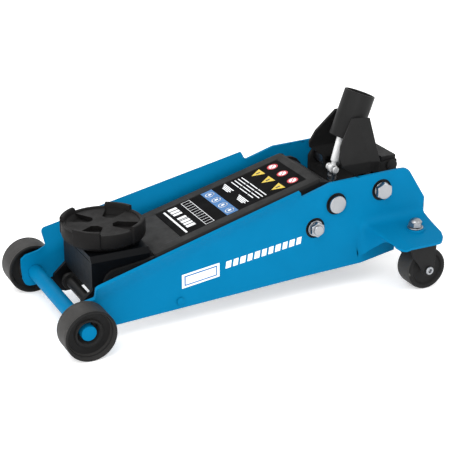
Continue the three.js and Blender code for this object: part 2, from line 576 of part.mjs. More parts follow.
add("hydraulic_block", hydraulicBlock(), BLACK);
add("ram_cylinder", cylinderTube(), STEEL);
add("oil_reservoir", reservoir(), BLACK);
add("gland_nut", glandNut(), STEEL);
add("ram", ram(), STEEL);
add("crosshead_pin", barY([CROSSHEAD_X, RAM_Z], CROSSHEAD_R, -50, 50), STEEL);
for (const side of [LEFT, RIGHT]) {
  add(`return_spring_${sideName(side)}`, onSide(side, returnSpring()), STEEL);
  add(`unit_screw_${sideName(side)}`, onSide(side, unitScrew()), ZINC);
}

// ---------------------------------------------------------------- pump
function plunger() {
  const [bottom, top] = [100, PLUNGER_TOP_Z];
  return turnedZ(PUMP, [[0, bottom], [PLUNGER_R, bottom], [PLUNGER_R, top - 5], [11, top - 5],
    [11, top - 1], [10, top], [0, top]], 20);
}
function pumpSpring() {
  const [z0, z1] = [PUMP_BASE_Z, PLUNGER_TOP_Z - 5 - GAP];
  return turnedZ(PUMP, [[7, z0], [10, z0], [10, z1], [7, z1], [7, z0]], 20);
}
add("pump_plunger", plunger(), STEEL);
add("pump_spring", pumpSpring(), STEEL);

// ---------------------------------------------------------------- release valve
function releaseValve() {
  const stem = barZ([ROD_LOW[0], 0], VALVE_R, SNOUT_Z[0] - 1, ROD_LOW[1] - 17, 16);
  const cup = barZ([ROD_LOW[0], 0], 7, ROD_LOW[1] - 19, ROD_LOW[1] - 10, 20);
  const ears = [-7, 4.3].map((y) =>
    box(ROD_LOW[0] - 4, ROD_LOW[0] + 4, y, y + 2.7, ROD_LOW[1] - 11, ROD_LOW[1] + 5));
  return join(stem, cup, ...ears);
}
function releaseRod() {
  const lean = (geometry) =>
    geometry.rotateY(-ROD_LEAN).translate(ROD_LOW[0], 0, ROD_LOW[1]);
  const rod = lean(join(barZ([0, 0], ROD_R - 1, 5, 12, 20), barZ([0, 0], ROD_R, 11, ROD_LENGTH, 20)));
  const eye = barY(ROD_LOW, 7, -4, 4, 20);
  return join(rod, eye);
}
add("release_valve", releaseValve(), ZINC);
add("release_rod", releaseRod(), ZINC);

// ---------------------------------------------------------------- handle socket and yoke
const socketDir = new THREE.Vector2(SOCKET_HIGH[0] - SOCKET_LOW[0], SOCKET_HIGH[1] - SOCKET_LOW[1]);
const socketLean = Math.atan2(-socketDir.x, socketDir.y);
const SOCKET_LENGTH = socketDir.length();

// A lathe profile of (radius, distance up the socket) turned about the leaning axis.
const turnedSocket = (profile, sides = 24) =>
  new THREE.LatheGeometry(profile.map(([r, t]) => new THREE.Vector2(r, t)), sides)
    .rotateX(Math.PI / 2).rotateY(-socketLean).translate(SOCKET_LOW[0], 0, SOCKET_LOW[1]);

function handleSocket() {
  const [r, bore, top] = [SOCKET_R, SOCKET_BORE_R, SOCKET_LENGTH];
  return turnedSocket([[bore, 0], [r, 0], [r, top - 1], [r - 1, top], [bore, top], [bore, 0]]);
}

// Outer face of a yoke plate at a height: narrow at the socket, wide at the frame.
const YOKE_T = 4.5, YOKE_LEG_Y = 54, YOKE_KNEE_Z = 190, YOKE_TOP_Z = 256;
const yokeY = (z) =>
  mix(YOKE_LEG_Y, 28, clamp01((z - YOKE_KNEE_Z) / (YOKE_TOP_Z - YOKE_KNEE_Z)));
// Front edge, fold and rear edge, as [z, x].
const YOKE_FRONT = [[158, -486], [171, -480], [188, -457], [200, -453.5], [220, -460], [256, -487]];
const YOKE_FOLD = [[158, -506], [192, -506], [256, -493]];
const YOKE_REAR = [[158, -522], [172, -524], [192, -520], [222, -517], [256, -514]];

function along(line, z) {
  const next = Math.max(1, line.findIndex(([at]) => at >= z));
  const [a, b] = [line[next - 1], line[next]];
  return mix(a[1], b[1], (z - a[0]) / (b[0] - a[0]));
}

function yokePlate() {
  const levels = [158, 171, 180, YOKE_KNEE_Z, 200, 210, 220, 238, YOKE_TOP_Z];
  const columns = 4; // rear edge, half way, fold, half way, front edge
  const flareOut = 8; // behind the fold the plate turns outward
  const sheet = new THREE.BoxGeometry(1, 1, 1, columns, 1, levels.length - 1);
  const place = sheet.attributes.position;
  for (let i = 0; i < place.count; i++) {
    const z = levels[Math.round((place.getZ(i) + 0.5) * (levels.length - 1))];
    const column = Math.round((place.getX(i) + 0.5) * columns);
    const [rear, fold, front] = [YOKE_REAR, YOKE_FOLD, YOKE_FRONT].map((line) => along(line, z));
    const x = [rear, (rear + fold) / 2, fold, (fold + front) / 2, front][column];
    const out = flareOut * [1, 0.5, 0, 0, 0][column] * clamp01((z - 172) / 20);
    place.setXYZ(i, x, yokeY(z) + out - (place.getY(i) > 0 ? 0 : YOKE_T), z);
  }
  const leg = [YOKE_LEG_Y - YOKE_T, YOKE_LEG_Y];
  const foot = barY(YOKE_PIVOT, 21, ...leg, 20);
  const tab = plateXZ([[-510, 164], [-556, 168], [-556, 188], [-510, 182]], ...leg);
  const clear = turnedSocket([[0, -30], [SOCKET_R + GAP, -30], [SOCKET_R + GAP, 90], [0, 90]]);
  return cut(join(sheet, foot, tab), clear, barY(YOKE_PIVOT, YOKE_PIN_R + GAP, 40, 110),
    barY(YOKE_BAR, YOKE_BAR_R + GAP, 40, 110, 20));
}

function yokeBar() {
  const reach = YOKE_LEG_Y + GAP;
  const bar = barY(YOKE_BAR, YOKE_BAR_R, -reach - 1, reach + 1, 20);
  const head = barY(YOKE_BAR, 9, reach, reach + 3, 20);
  return join(bar, head, mirrored(head));
}

function yokeCrosspiece() {
  const block = box(-556, -530, -YOKE_LEG_Y + 4.8, YOKE_LEG_Y - 4.8, 172, 193);
  const [x, z] = ROLLER;
  const outline = [[-545, 172.5], ...arc(ROLLER, 6, 200, 360, 8), [x + 6, z + 7], [-533, z + 14],
    [-545, z + 14]];
  const lugs = [-12, 8].map((y) => plateXZ(outline, PUMP[1] + y, PUMP[1] + y + 4));
  return cut(join(block, ...lugs), barY(YOKE_BAR, YOKE_BAR_R + GAP, -70, 70, 20),
    barY(ROLLER, ROLLER_PIN_R + GAP, 0, 40, 16), barY(ROLLER, ROLLER_R + 1, PUMP[1] - 8,
      PUMP[1] + 8, 20));
}
function pumpRoller() {
  const y = PUMP[1];
  const drum = barY(ROLLER, ROLLER_R, y - 7.5, y + 7.5, 20);
  return join(drum, barY(ROLLER, ROLLER_PIN_R, y - 14, y + 14, 16));
}

// The bolt passes the side plate, a spacer and the yoke leg; its head is outside.
function yokeBolt() {
  const face = PLATE_REAR_Y + GAP;
  const washer = barY(YOKE_PIVOT, 15, face, face + 2, 20);
  const head = barY(YOKE_PIVOT, 13, face + 1, face + 10, 6);
  return join(barY(YOKE_PIVOT, YOKE_PIN_R, YOKE_LEG_Y - YOKE_T - 6, face + 1), washer, head);
}
function yokeSpacer() {
  const [y0, y1] = [YOKE_LEG_Y + GAP, PLATE_REAR_Y - PLATE_T - GAP];
  const [r0, r1] = [YOKE_PIN_R + GAP, 14];
  return turnedY(YOKE_PIVOT, [[r0, y0], [r1, y0], [r1, y1], [r0, y1], [r0, y0]], 20);
}

add("handle_socket", handleSocket(), BLACK);
for (const side of [LEFT, RIGHT]) {
  add(`yoke_plate_${sideName(side)}`, onSide(side, yokePlate()), BLACK);
  add(`yoke_bolt_${sideName(side)}`, onSide(side, yokeBolt()), ZINC);
  add(`yoke_spacer_${sideName(side)}`, onSide(side, yokeSpacer()), STEEL);
}
add("yoke_bar", yokeBar(), STEEL);
add("yoke_crosspiece", yokeCrosspiece(), BLACK);
add("pump_roller", pumpRoller(), STEEL);

// ---------------------------------------------------------------- the whole jack
const rearmost = CASTER_AXLE[0] - CASTER_R;
jack.position.x = -(WHEEL_R + rearmost) / 2;

export default jack;
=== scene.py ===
"""Looks of the trolley jack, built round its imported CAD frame.

Shapes are written in millimetres in the jack's own measure: X forward from the front axle, Y to the
left, Z up from the floor. place() turns them into the row frame in metres.
"""

import json
from math import ceil, cos, hypot, pi, radians, sin, sqrt, tan

import bmesh
import bpy
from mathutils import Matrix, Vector, geometry

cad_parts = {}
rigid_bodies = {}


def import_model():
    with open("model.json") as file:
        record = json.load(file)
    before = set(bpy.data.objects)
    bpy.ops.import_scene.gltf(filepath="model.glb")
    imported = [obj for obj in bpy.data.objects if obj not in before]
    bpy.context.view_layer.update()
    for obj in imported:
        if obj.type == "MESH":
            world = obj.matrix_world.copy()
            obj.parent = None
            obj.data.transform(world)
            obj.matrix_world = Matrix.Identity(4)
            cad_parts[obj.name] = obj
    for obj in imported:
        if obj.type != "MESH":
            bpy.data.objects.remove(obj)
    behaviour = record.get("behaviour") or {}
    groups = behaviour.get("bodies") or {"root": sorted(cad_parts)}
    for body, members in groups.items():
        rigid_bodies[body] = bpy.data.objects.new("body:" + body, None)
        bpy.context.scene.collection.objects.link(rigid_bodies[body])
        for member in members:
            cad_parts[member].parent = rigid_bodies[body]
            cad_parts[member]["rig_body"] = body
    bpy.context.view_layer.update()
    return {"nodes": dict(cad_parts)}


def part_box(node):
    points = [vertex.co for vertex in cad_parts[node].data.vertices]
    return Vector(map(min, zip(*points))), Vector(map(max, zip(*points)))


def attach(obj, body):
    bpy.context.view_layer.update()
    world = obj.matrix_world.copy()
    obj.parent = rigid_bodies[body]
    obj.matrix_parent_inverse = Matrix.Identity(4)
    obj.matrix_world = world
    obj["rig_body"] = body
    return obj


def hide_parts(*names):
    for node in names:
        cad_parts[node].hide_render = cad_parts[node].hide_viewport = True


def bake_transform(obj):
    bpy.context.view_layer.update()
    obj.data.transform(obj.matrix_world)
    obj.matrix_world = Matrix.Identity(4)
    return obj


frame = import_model()

MM = 0.001
LEFT, RIGHT = 1, -1
SIDES = (("left", LEFT), ("right", RIGHT))


def centre(node):
    """Middle of a CAD node in the row frame, in millimetres."""
    low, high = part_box(node)
    return (low + high) / 2 / MM


ORIGIN_X = centre("front_axle").x


def place(point):
    x, y, z = point
    return Vector(((x + ORIGIN_X) * MM, y * MM, z * MM))


def pivot(node):
    """[x, z] of a cross pin in the jack's measure."""
    middle = centre(node)
    return middle.x - ORIGIN_X, middle.z


def cross_line(pin):
    """The foot of a line across the jack at an [x, z]."""
    return pin[0], 0, pin[1]


AXLE = pivot("front_axle")
ARM_PIVOT = pivot("arm_pivot_shaft")
SADDLE_PIN = pivot("saddle_pin")
LINK_REAR = pivot("link_nut_left")
LINK_FRONT = pivot("link_cross_rod")
YOKE_PIVOT = pivot("yoke_spacer_left")
YOKE_BAR = pivot("yoke_bar")
ROLLER = pivot("pump_roller")
TIE_ROD = pivot("front_tie_rod")
CROSSHEAD = pivot("crosshead_pin")
STEM = centre("caster_nut_left").x - ORIGIN_X, centre("caster_nut_left").y
CASTER_AXLE = pivot("caster_wheel_left")
SADDLE = centre("saddle").x - ORIGIN_X, 0.0
PUMP = centre("pump_plunger").x - ORIGIN_X, centre("pump_plunger").y
VALVE = centre("release_valve").x - ORIGIN_X, 0.0
RAM_Z = centre("ram_cylinder").z

PLATE_T, WING_T = 5.0, 4.0
PLATE_REAR_Y = 96.5  # outer face of a side plate behind the flange
PLATE_OUTER_Y, PLATE_INNER_Y = PLATE_REAR_Y + 0.3, 91.2  # what lies against a plate starts here
ARM_CLEAR_Y, YOKE_CLEAR_Y = 66.3, 54.3  # just outside the arm's plates and the yoke's feet
TOP_FRONT = (-20.0, 98.0)
FLANGE_END_X = -356.0
REAR_TOP = [(-361.5, 169.0), (-412.0, 184.0), (-549.0, 187.4), (-583.0, 133.0)]


# ------------------------------------------------------------------ small maths
def mix(a, b, t):
    return a + (b - a) * t


def clamp01(t):
    return min(1.0, max(0.0, t))


def smooth(t):
    t = clamp01(t)
    return t * t * (3 - 2 * t)


def soften(points, radius, closed=True, steps=4):
    """Rounds the corners of a 2-D line."""
    out = []
    count = len(points)
    for i, corner in enumerate(points):
        if not closed and i in (0, count - 1):
            out.append(tuple(corner))
            continue
        before, after = Vector(points[i - 1]), Vector(points[(i + 1) % count])
        corner = Vector(corner)
        a, b = before - corner, after - corner
        if a.length < 1e-6 or b.length < 1e-6:
            continue
        turn = a.angle(b)
        if turn > radians(176):
            out.append(tuple(corner))
            continue
        reach = min(radius / tan(turn / 2), a.length * 0.48, b.length * 0.48)
        start, end = corner + a.normalized() * reach, corner + b.normalized() * reach
        for k in range(steps + 1):
            t = k / steps
            out.append(tuple((1 - t) ** 2 * start + 2 * t * (1 - t) * corner + t * t * end))
    return out


def resample(points, step, closed=True):
    """Adds points so that no stretch is longer than step."""
    out = []
    last = len(points) if closed else len(points) - 1
    for i in range(last):
        a, b = Vector(points[i]), Vector(points[(i + 1) % len(points)])
        pieces = max(1, ceil((b - a).length / step))
        out += [tuple(a.lerp(b, k / pieces)) for k in range(pieces)]
    return out if closed else out + [tuple(points[-1])]


def arc(middle, r, start, end, steps=16):
    return [
        (middle[0] + r * cos(radians(mix(start, end, k / steps))),
         middle[1] + r * sin(radians(mix(start, end, k / steps))))
        for k in range(steps + 1)
    ]


# ------------------------------------------------------------------ materials
def linear(r, g, b):
    """A colour given in 0-255 screen values, as linear values."""
    def one(c):
        c /= 255
        return c / 12.92 if c <= 0.04045 else ((c + 0.055) / 1.055) ** 2.4
    return one(r), one(g), one(b), 1.0


class Nodes:
    """A short way to write a node tree."""

    def __init__(self, name):
        self.material = bpy.data.materials.new(name)
        self.material.use_nodes = True
        self.tree = self.material.node_tree
        self.shader = self.tree.nodes["Principled BSDF"]
        self.coords = self.tree.nodes.new("ShaderNodeTexCoord").outputs["Object"]

    def new(self, kind, **settings):
        node = self.tree.nodes.new(kind)
        for key, value in settings.items():
            setattr(node, key, value)
        return node

    def link(self, source, target):
        self.tree.links.new(source, target)

    def noise(self, scale, detail=3.0, roughness=0.55, stretch=(1, 1, 1)):
        mapping = self.new("ShaderNodeMapping")
        mapping.inputs["Scale"].default_value = stretch
        self.link(self.coords, mapping.inputs["Vector"])
        node = self.new("ShaderNodeTexNoise")
        node.inputs["Scale"].default_value = scale
        node.inputs["Detail"].default_value = detail
        node.inputs["Roughness"].default_value = roughness
        self.link(mapping.outputs["Vector"], node.inputs["Vector"])
        return node.outputs["Fac"]

    def ramp(self, source, low, high, first=0.0, last=1.0):
        node = self.new("ShaderNodeMapRange", clamp=True)
        for key, value in (("From Min", low), ("From Max", high), ("To Min", first),
                           ("To Max", last)):
            node.inputs[key].default_value = value
        self.link(source, node.inputs["Value"])
        return node.outputs["Result"]

    def times(self, a, b):
        node = self.new("ShaderNodeMath", operation="MULTIPLY")
        self.link(a, node.inputs[0])
        if isinstance(b, float):
            node.inputs[1].default_value = b
        else:
            self.link(b, node.inputs[1])
        return node.outputs["Value"]

    def blend(self, fac, a, b):
        """Mixes two colours, each a value or another node's output."""
        node = self.new("ShaderNodeMix", data_type="RGBA")
        self.link(fac, node.inputs["Factor"])
        for key, value in (("A", a), ("B", b)):
            socket = next(s for s in node.inputs if s.name == key and s.type == "RGBA")
            if isinstance(value, tuple):
                socket.default_value = value
            else:
                self.link(value, socket)
        return next(s for s in node.outputs if s.type == "RGBA")

    def bump(self, heights, distance, strength=1.0):
        node = self.new("ShaderNodeBump")
        node.inputs["Distance"].default_value = distance
        node.inputs["Strength"].default_value = strength
        self.link(heights, node.inputs["Height"])
        self.link(node.outputs["Normal"], self.shader.inputs["Normal"])

    def edges(self, low, high):
        """1 on outward edges, 0 elsewhere, from the mesh's own curvature."""
        shape = self.new("ShaderNodeNewGeometry")
        return self.ramp(shape.outputs["Pointiness"], low, high)


def shaded(colour, amount):
    return tuple(min(1.0, c * amount) for c in colour[:3]) + (1.0,)


def finish_of(name, colour, rough, metallic=0.0, mottle=0.08, grain=900.0, depth=0.00004,
              worn=None, worn_share=0.35, specular=0.5, stretch=(1, 1, 1), face=None):
    """A surface with uneven colour and gloss and fine relief.

    worn is the colour of rubbed edges, face a painted-shade colour for sides that look along Y.
    """
    n = Nodes(name)
    cloud = n.noise(22.0, 4.0)
    speck = n.noise(grain, 2.0, stretch=stretch)
    base = n.blend(n.ramp(cloud, 0.3, 0.7), shaded(colour, 1 - mottle), shaded(colour, 1 + mottle))
    if face:  # painted shade: sides that look along Y get the darker face colour, the shade on a wheel's flat sides beside its tread
        split = n.new("ShaderNodeSeparateXYZ")
        n.link(n.new("ShaderNodeTexCoord").outputs["Normal"], split.inputs["Vector"])
        size = n.new("ShaderNodeMath", operation="ABSOLUTE")
        n.link(split.outputs["Y"], size.inputs[0])
        base = n.blend(n.ramp(size.outputs["Value"], 0.25, 0.6), base, face)
    if worn:
        patches = n.ramp(n.noise(130.0, 5.0), 0.5, 0.62)
        rubbed = n.times(n.times(n.edges(0.53, 0.6), patches), worn_share)
        base = n.blend(rubbed, base, worn)
    n.link(base, n.shader.inputs["Base Color"])
    uneven = n.blend(n.ramp(n.noise(60.0, 5.0, 0.65), 0.3, 0.72),
                     (rough * 0.85,) * 3 + (1.0,), (min(1.0, rough * 1.2),) * 3 + (1.0,))
    n.link(uneven, n.shader.inputs["Roughness"])
    n.bump(speck, depth)
    n.shader.inputs["Metallic"].default_value = metallic
    n.shader.inputs["Specular IOR Level"].default_value = specular
    return n.material


BLUE = finish_of("blue_paint", linear(0, 107, 151), 0.5, mottle=0.03, grain=420.0, depth=0.00003,
                 specular=0.03)
BLACK = finish_of("black_paint", linear(27, 27, 27), 0.5, mottle=0.06, grain=700.0, depth=0.00005,
                  specular=0.12)
CAST = finish_of("cast_saddle", linear(17, 16, 16), 0.55, mottle=0.12, grain=420.0, depth=0.00015,
                 specular=0.1)
# painted shade on the wheels: their flat sides get the darker face colour
NYLON = finish_of("wheel_plastic", linear(50, 49, 48), 0.6, mottle=0.1, grain=520.0, depth=0.00009,
                  worn=linear(110, 108, 104), worn_share=0.5, specular=0.2, face=linear(15, 15, 15))
ZINC = finish_of("zinc", linear(158, 160, 163), 0.34, metallic=1.0, mottle=0.06, grain=260.0,
                 depth=0.00002)
STEEL = finish_of("steel", linear(130, 131, 134), 0.38, metallic=1.0, mottle=0.1, grain=500.0,
                  depth=0.00003, stretch=(1, 9, 1))
# painted shade: a darker copy of the black paint for the saddle bracket, which sits deep inside in
# shade
SHADED_BLACK = finish_of("bracket_black_painted_shade", linear(9, 10, 12), 0.42, mottle=0.05, grain=700.0, depth=0.00003,
                 specular=0.1)
# painted reflection: the plated release rod and its pin get a near-white, barely metallic colour
# for the bright sheen they show in shade
PAINTED_SHEEN_PLATING = finish_of("plated_rod_painted_sheen", linear(236, 236, 236), 0.3, metallic=0.1, mottle=0.05, grain=300.0,
                   depth=0.00002)
GLOSS = finish_of("panel_black", linear(7, 7, 8), 0.5, specular=0.02, mottle=0.05, grain=1500.0,
                  depth=0.000008)
PRINT = {
    name: finish_of("print_" + name, linear(*rgb), 0.4, mottle=0.02, grain=1500.0, depth=0.000006)
    for name, rgb in dict(white=(236, 238, 240), blue=(8, 98, 160), yellow=(206, 178, 40),
                          red=(190, 40, 52), dark=(16, 16, 17)).items()
}


# ------------------------------------------------------------------ mesh kit
def piece(name, shape, body, material, stands_for=(), bevel=0.0, crease=38, side=LEFT, slab=0.0):
    """Makes an object from (vertices, faces) and ties it to a CAD body.

    side RIGHT mirrors it; slab gives a sheet its thickness, against its normals.
    """
    verts, faces = shape
    mesh = bpy.data.meshes.new(name)
    mesh.from_pydata([place((x, y * side, z)) for x, y, z in verts], [],
                     [f if side == LEFT else f[::-1] for f in faces])
    mesh.validate()
    obj = bpy.data.objects.new(name, mesh)
    bpy.context.scene.collection.objects.link(obj)
    tidy = bmesh.new()
    tidy.from_mesh(mesh)
    bmesh.ops.remove_doubles(tidy, verts=tidy.verts, dist=2e-6)
    if not slab:
        bmesh.ops.recalc_face_normals(tidy, faces=tidy.faces)
    tidy.to_mesh(mesh)
    tidy.free()
    if slab:
        thick = obj.modifiers.new("thickness", "SOLIDIFY")
        thick.thickness, thick.offset = slab * MM, -1.0
    finish_piece(obj, material, bevel, crease)
    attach(obj, body)
    if stands_for:
        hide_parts(*stands_for)
    return obj


def finish_piece(obj, material, bevel, crease):
    mesh = obj.data
    mesh.materials.clear()
    mesh.materials.append(material)
    if bevel:
        edge = obj.modifiers.new("edges", "BEVEL")
        edge.width, edge.segments, edge.limit_method = bevel * MM, 3, "ANGLE"
        edge.angle_limit, edge.use_clamp_overlap = radians(crease), True
        edge.harden_normals = True
    mesh.shade_smooth()
    mesh.set_sharp_from_angle(angle=radians(crease))


def keep(node, material, bevel=0.8, crease=38):
    """A CAD node that stays, with its own material and softened edges."""
    obj = frame["nodes"][node]
    obj.data.materials.clear()
    obj.data.materials.append(material)
    obj.data.shade_smooth()
    edge = obj.modifiers.new("edges", "BEVEL")
    edge.width, edge.segments, edge.limit_method = bevel * MM, 2, "ANGLE"
    edge.angle_limit, edge.harden_normals = radians(crease), True


def merged(*shapes):
    verts, faces = [], []
    for shape_verts, shape_faces in shapes:
        base = len(verts)
        verts += shape_verts
        faces += [tuple(i + base for i in f) for f in shape_faces]
    return verts, faces


def turned(profile, along, at, seg=72, round_r=0.7):
    """A round body: (radius, distance) points turned about a line.

    along is "x", "y" or "z", or a direction; at is the line's foot. profile may be a function of
    the angle. A profile starts and ends on the axis, or closes on itself.
    """
    axis = {"x": Vector((1, 0, 0)), "y": Vector((0, 1, 0)), "z": Vector((0, 0, 1))}.get(along) \
        if isinstance(along, str) else Vector(along).normalized()
    side = axis.orthogonal().normalized()
    if isinstance(along, str) and along == "y":
        side = Vector((0, 0, 1))
    other = axis.cross(side)
    rounded = profile if callable(profile) else None
    if rounded is None:
        ring = profile[0] == profile[-1]
        points = soften(profile[:-1] if ring else profile, round_r, closed=ring, steps=3)
        if ring:
            points.append(points[0])
    verts, faces = [], []
    at = Vector(at)
    for k in range(seg):
        angle = 2 * pi * k / seg
        out = side * cos(angle) + other * sin(angle)
        line = rounded(angle) if rounded else points
        verts += [tuple(at + out * r + axis * t) for r, t in line]
    count = len(line)
    for k in range(seg):
        a, b = k * count, ((k + 1) % seg) * count
        for i in range(count - 1):
            faces.append((a + i, b + i, b + i + 1, a + i + 1))
    return verts, faces


def washer(bore, r, start, end):
    """The closed profile of a ring, for turned()."""
    return [(bore, start), (r, start), (r, end), (bore, end), (bore, start)]


def hex_profile(across_r, height, base=0.0):
    """A chamfered hexagon head with its washer face, for turned(); across_r is to the corners."""
    def line(angle):
        flat = across_r * cos(pi / 6) / cos((angle % (pi / 3)) - pi / 6)
        rim = across_r * cos(pi / 6) * 0.97
        drop = (flat - rim) * tan(radians(28))
        return [(0, base), (flat * 0.93, base), (flat, base + 0.6), (flat, base + height - drop),
                (mix(flat, rim, 0.5), base + height - drop * 0.42), (rim, base + height - 0.02),
                (rim - 0.8, base + height), (0, base + height)]
    return line


def between(low, high):
    """The solid between two like outlines in space."""
    count = len(low)
    faces = [tuple(range(count)), tuple(range(2 * count - 1, count - 1, -1))]
    faces += [(i, count + i, count + (i + 1) % count, (i + 1) % count) for i in range(count)]
    return low + high, faces


def prism(outline, y0, y1):
    """An outline in X-Z given its thickness along Y."""
    return between([(x, y0, z) for x, z in outline], [(x, y1, z) for x, z in outline])


def block(x0, x1, y0, y1, z0, z1):
    return prism([(x0, z0), (x1, z0), (x1, z1), (x0, z1)], y0, y1)


def inside(point, outline):
    x, y = point
    hit = False
    for (x0, y0), (x1, y1) in zip(outline, outline[1:] + outline[:1]):
        if (y0 > y) != (y1 > y) and x < (x1 - x0) * (y - y0) / (y1 - y0) + x0:
            hit = not hit
    return hit


def sheet(outline, holes, step, surface):
    """A bent sheet: the flat outline with round holes is meshed, then put on surface(x, z)."""
    loops = [outline] + [arc(c, r, 0, 360, 40)[:-1] for c, r in holes]
    points, edges = [], []
    for loop in loops:
        base = len(points)
        points += loop
        edges += [(base + i, base + (i + 1) % len(loop)) for i in range(len(loop))]
    lows = [min(p[i] for p in outline) for i in (0, 1)]
    highs = [max(p[i] for p in outline) for i in (0, 1)]
    rim = list(points)
    for i in range(1, int((highs[0] - lows[0]) / step) + 1):
        for j in range(1, int((highs[1] - lows[1]) / step) + 1):
            spot = (lows[0] + (i - 0.5 * (j % 2)) * step, lows[1] + j * step)
            clear = all(hypot(spot[0] - c[0], spot[1] - c[1]) > r + step * 0.4 for c, r in holes)
            if inside(spot, outline) and clear and min(
                    (spot[0] - a) ** 2 + (spot[1] - b) ** 2 for a, b in rim) > (step * 0.45) ** 2:
                points.append(spot)
    flat, _, tris, *_ = geometry.delaunay_2d_cdt([Vector(p) for p in points], edges, [], 0, 1e-5)
    faces = []
    for tri in tris:
        middle = sum((flat[i] for i in tri), Vector((0, 0))) / 3
        if inside(middle, outline) and all((middle - Vector(c)).length > r - 0.02
                                           for c, r in holes):
            faces.append(tuple(tri)[::-1])
    return [surface(p[0], p[1]) for p in flat], faces


def coil(start, end, r, wire, turns, sides=8):
    """A wound spring between two points."""
    start, end = Vector(start), Vector(end)
    axis = (end - start).normalized()
    side = axis.orthogonal().normalized()
    other = axis.cross(side)
    steps = int(turns * 20)
    centres = []
    for k in range(steps + 1):
        t = k / steps
        angle = 2 * pi * turns * t
        centres.append(start.lerp(end, t) + (side * cos(angle) + other * sin(angle)) * r)
    return swept(centres, wire, sides)


def swept(centres, wire, sides=10):
    """A round bar along a line of points."""
    verts, faces = [], []
    centres = [Vector(c) for c in centres]
    up = None
    for k, middle in enumerate(centres):
        ahead = (centres[min(k + 1, len(centres) - 1)] - centres[max(k - 1, 0)]).normalized()
        up = (ahead.orthogonal() if up is None else up - ahead * up.dot(ahead)).normalized()
        across = ahead.cross(up)
        verts += [tuple(middle + (up * cos(turn) + across * sin(turn)) * wire)
                  for turn in (2 * pi * s / sides for s in range(sides))]
    for k in range(len(centres) - 1):
        a, b = k * sides, (k + 1) * sides
        faces += [(a + s, a + (s + 1) % sides, b + (s + 1) % sides, b + s) for s in range(sides)]
    last = (len(centres) - 1) * sides
    faces += [tuple(range(sides))[::-1], tuple(range(last, last + sides))]
    return verts, faces


# ------------------------------------------------------------------ side plates
def plate_y(x):
    return mix(104.0, PLATE_REAR_Y, clamp01((x + 40) / -320))


def sill_z(x):
    return 24 - x * 0.0355


def top_z(x):
    return TOP_FRONT[1] + (TOP_FRONT[0] - x) * 0.2454


def flare_y(x):
    """How far the flange's top edge stands out from the plate."""
    share = clamp01((x - TOP_FRONT[0]) / (FLANGE_END_X - TOP_FRONT[0]))
    full = mix(122.7, 102.5, share) - plate_y(x)
    return full * smooth((-4 - x) / 18) * smooth((x + 362.5) / 7)


def plate_surface(x, z):
    share = clamp01((x - TOP_FRONT[0]) / (FLANGE_END_X - TOP_FRONT[0]))
    strip = mix(36, 16, share)
    up = (z - (top_z(x) - strip)) / strip
    soft = 0.3  # the share of the flange that is a bend
    lean = 0.0
    if up > 0:
        lean = up * up / (2 * soft) if up < soft else up - soft / 2
        lean /= 1 - soft / 2
    y = plate_y(x) + flare_y(x) * lean
    low = mix(sill_z(x), 110, 0.45)
    y -= 15.5 * clamp01((x + 470) / -70) * (1 - smooth((z - low) / 14))
    around = hypot(x - ARM_PIVOT[0], z - ARM_PIVOT[1])
    y -= 1.6 * smooth((around - 24) / -7)  # the dish round the arm's pivot
    y += 0.5 * smooth((33 - around) / 5) * smooth((around - 22) / 4)
    return x, y, z


WELLS = [(ARM_PIVOT, 17.5), (YOKE_PIVOT, 17.5), (LINK_REAR, 16.5)]


def side_plates():
    sill = [(x, sill_z(x)) for x in (-541, -400, -250, -120, -24)]
    boss = soften([(-6, 19), (2, 16.6), (11, 16.8), (17.2, 20.5), (20, 28.4), (21.7, 48)], 6,
                  closed=False)
    nose = [(21.2, 62.6), (13.5, 68.5), (-9, 73), (-21.5, 76), (-20.5, 84), (-18.5, 98.4)]
    crest = [(-200, top_z(-200)), (FLANGE_END_X, top_z(FLANGE_END_X) - 0.5), (-358.8, 176.0)]
    tail = [(-583, 133), (-583, 98), (-545, 97)]
    corners = soften(nose + crest[:1], 9, closed=False, steps=6) + crest[1:]
    upper = soften([crest[-1]] + REAR_TOP, 16, closed=False, steps=6)[1:]
    outline = resample(sill + boss + corners + upper + tail[1:], 5.0)
    holes = [(c, r) for c, r in WELLS] + [(AXLE, 11.8)]
    shape = sheet(outline, holes, 6.0, plate_surface)
    for name, side in SIDES:
        piece(f"plate_skin_{name}", shape, "frame", BLUE, [f"side_plate_{name}"], bevel=0.9,
              crease=50, side=side, slab=PLATE_T)
        piece(f"caster_shelf_{name}", shelf_shape(), "frame", BLUE, bevel=1.2, crease=50, side=side,
              slab=WING_T)
        spot = turned([(0, 95.5), (15.2, 95.5), (15.2, 100.5), (0, 100.5)], "z", (*STEM, 0))
        piece(f"caster_seat_{name}", spot, "frame", BLUE, side=side)
        # painted shade: black sheets on the side plates' inner faces round the yoke pivot stand in
        # for the shade deep between the plates
        shade_outline = resample(soften([(-572, 92), (-476, 92), (-476, 160), (-486, 174), (-548, 178),
                                 (-572, 146)], 6), 6)
        shade_sheet = sheet(shade_outline, [(YOKE_PIVOT, 15.5)], 8.0, lambda x, z: (x, PLATE_INNER_Y, z))
        piece(f"pivot_shade_sheet_{name}", shade_sheet, "frame", BLACK, side=side, slab=2.2)
        # painted shade: a black ring set into each bolt hole stands in for the shade inside the
        # hole
        for i, (middle, r) in enumerate(WELLS):
            y = plate_y(middle[0]) - (2.8 if i else 4.0)
            well = turned(washer(7, r + 1.5, y - 2, y), "y", cross_line(middle))
            piece(f"bolt_well_{i}_{name}", well, "frame", BLACK, side=side)
            if middle == YOKE_PIVOT:
                continue
            back = turned(washer(9.6, r + 1.2, y - 3, y - 2.1), "y", cross_line(middle))
            piece(f"bolt_well_back_{i}_{name}", back, "frame", BLUE, side=side)


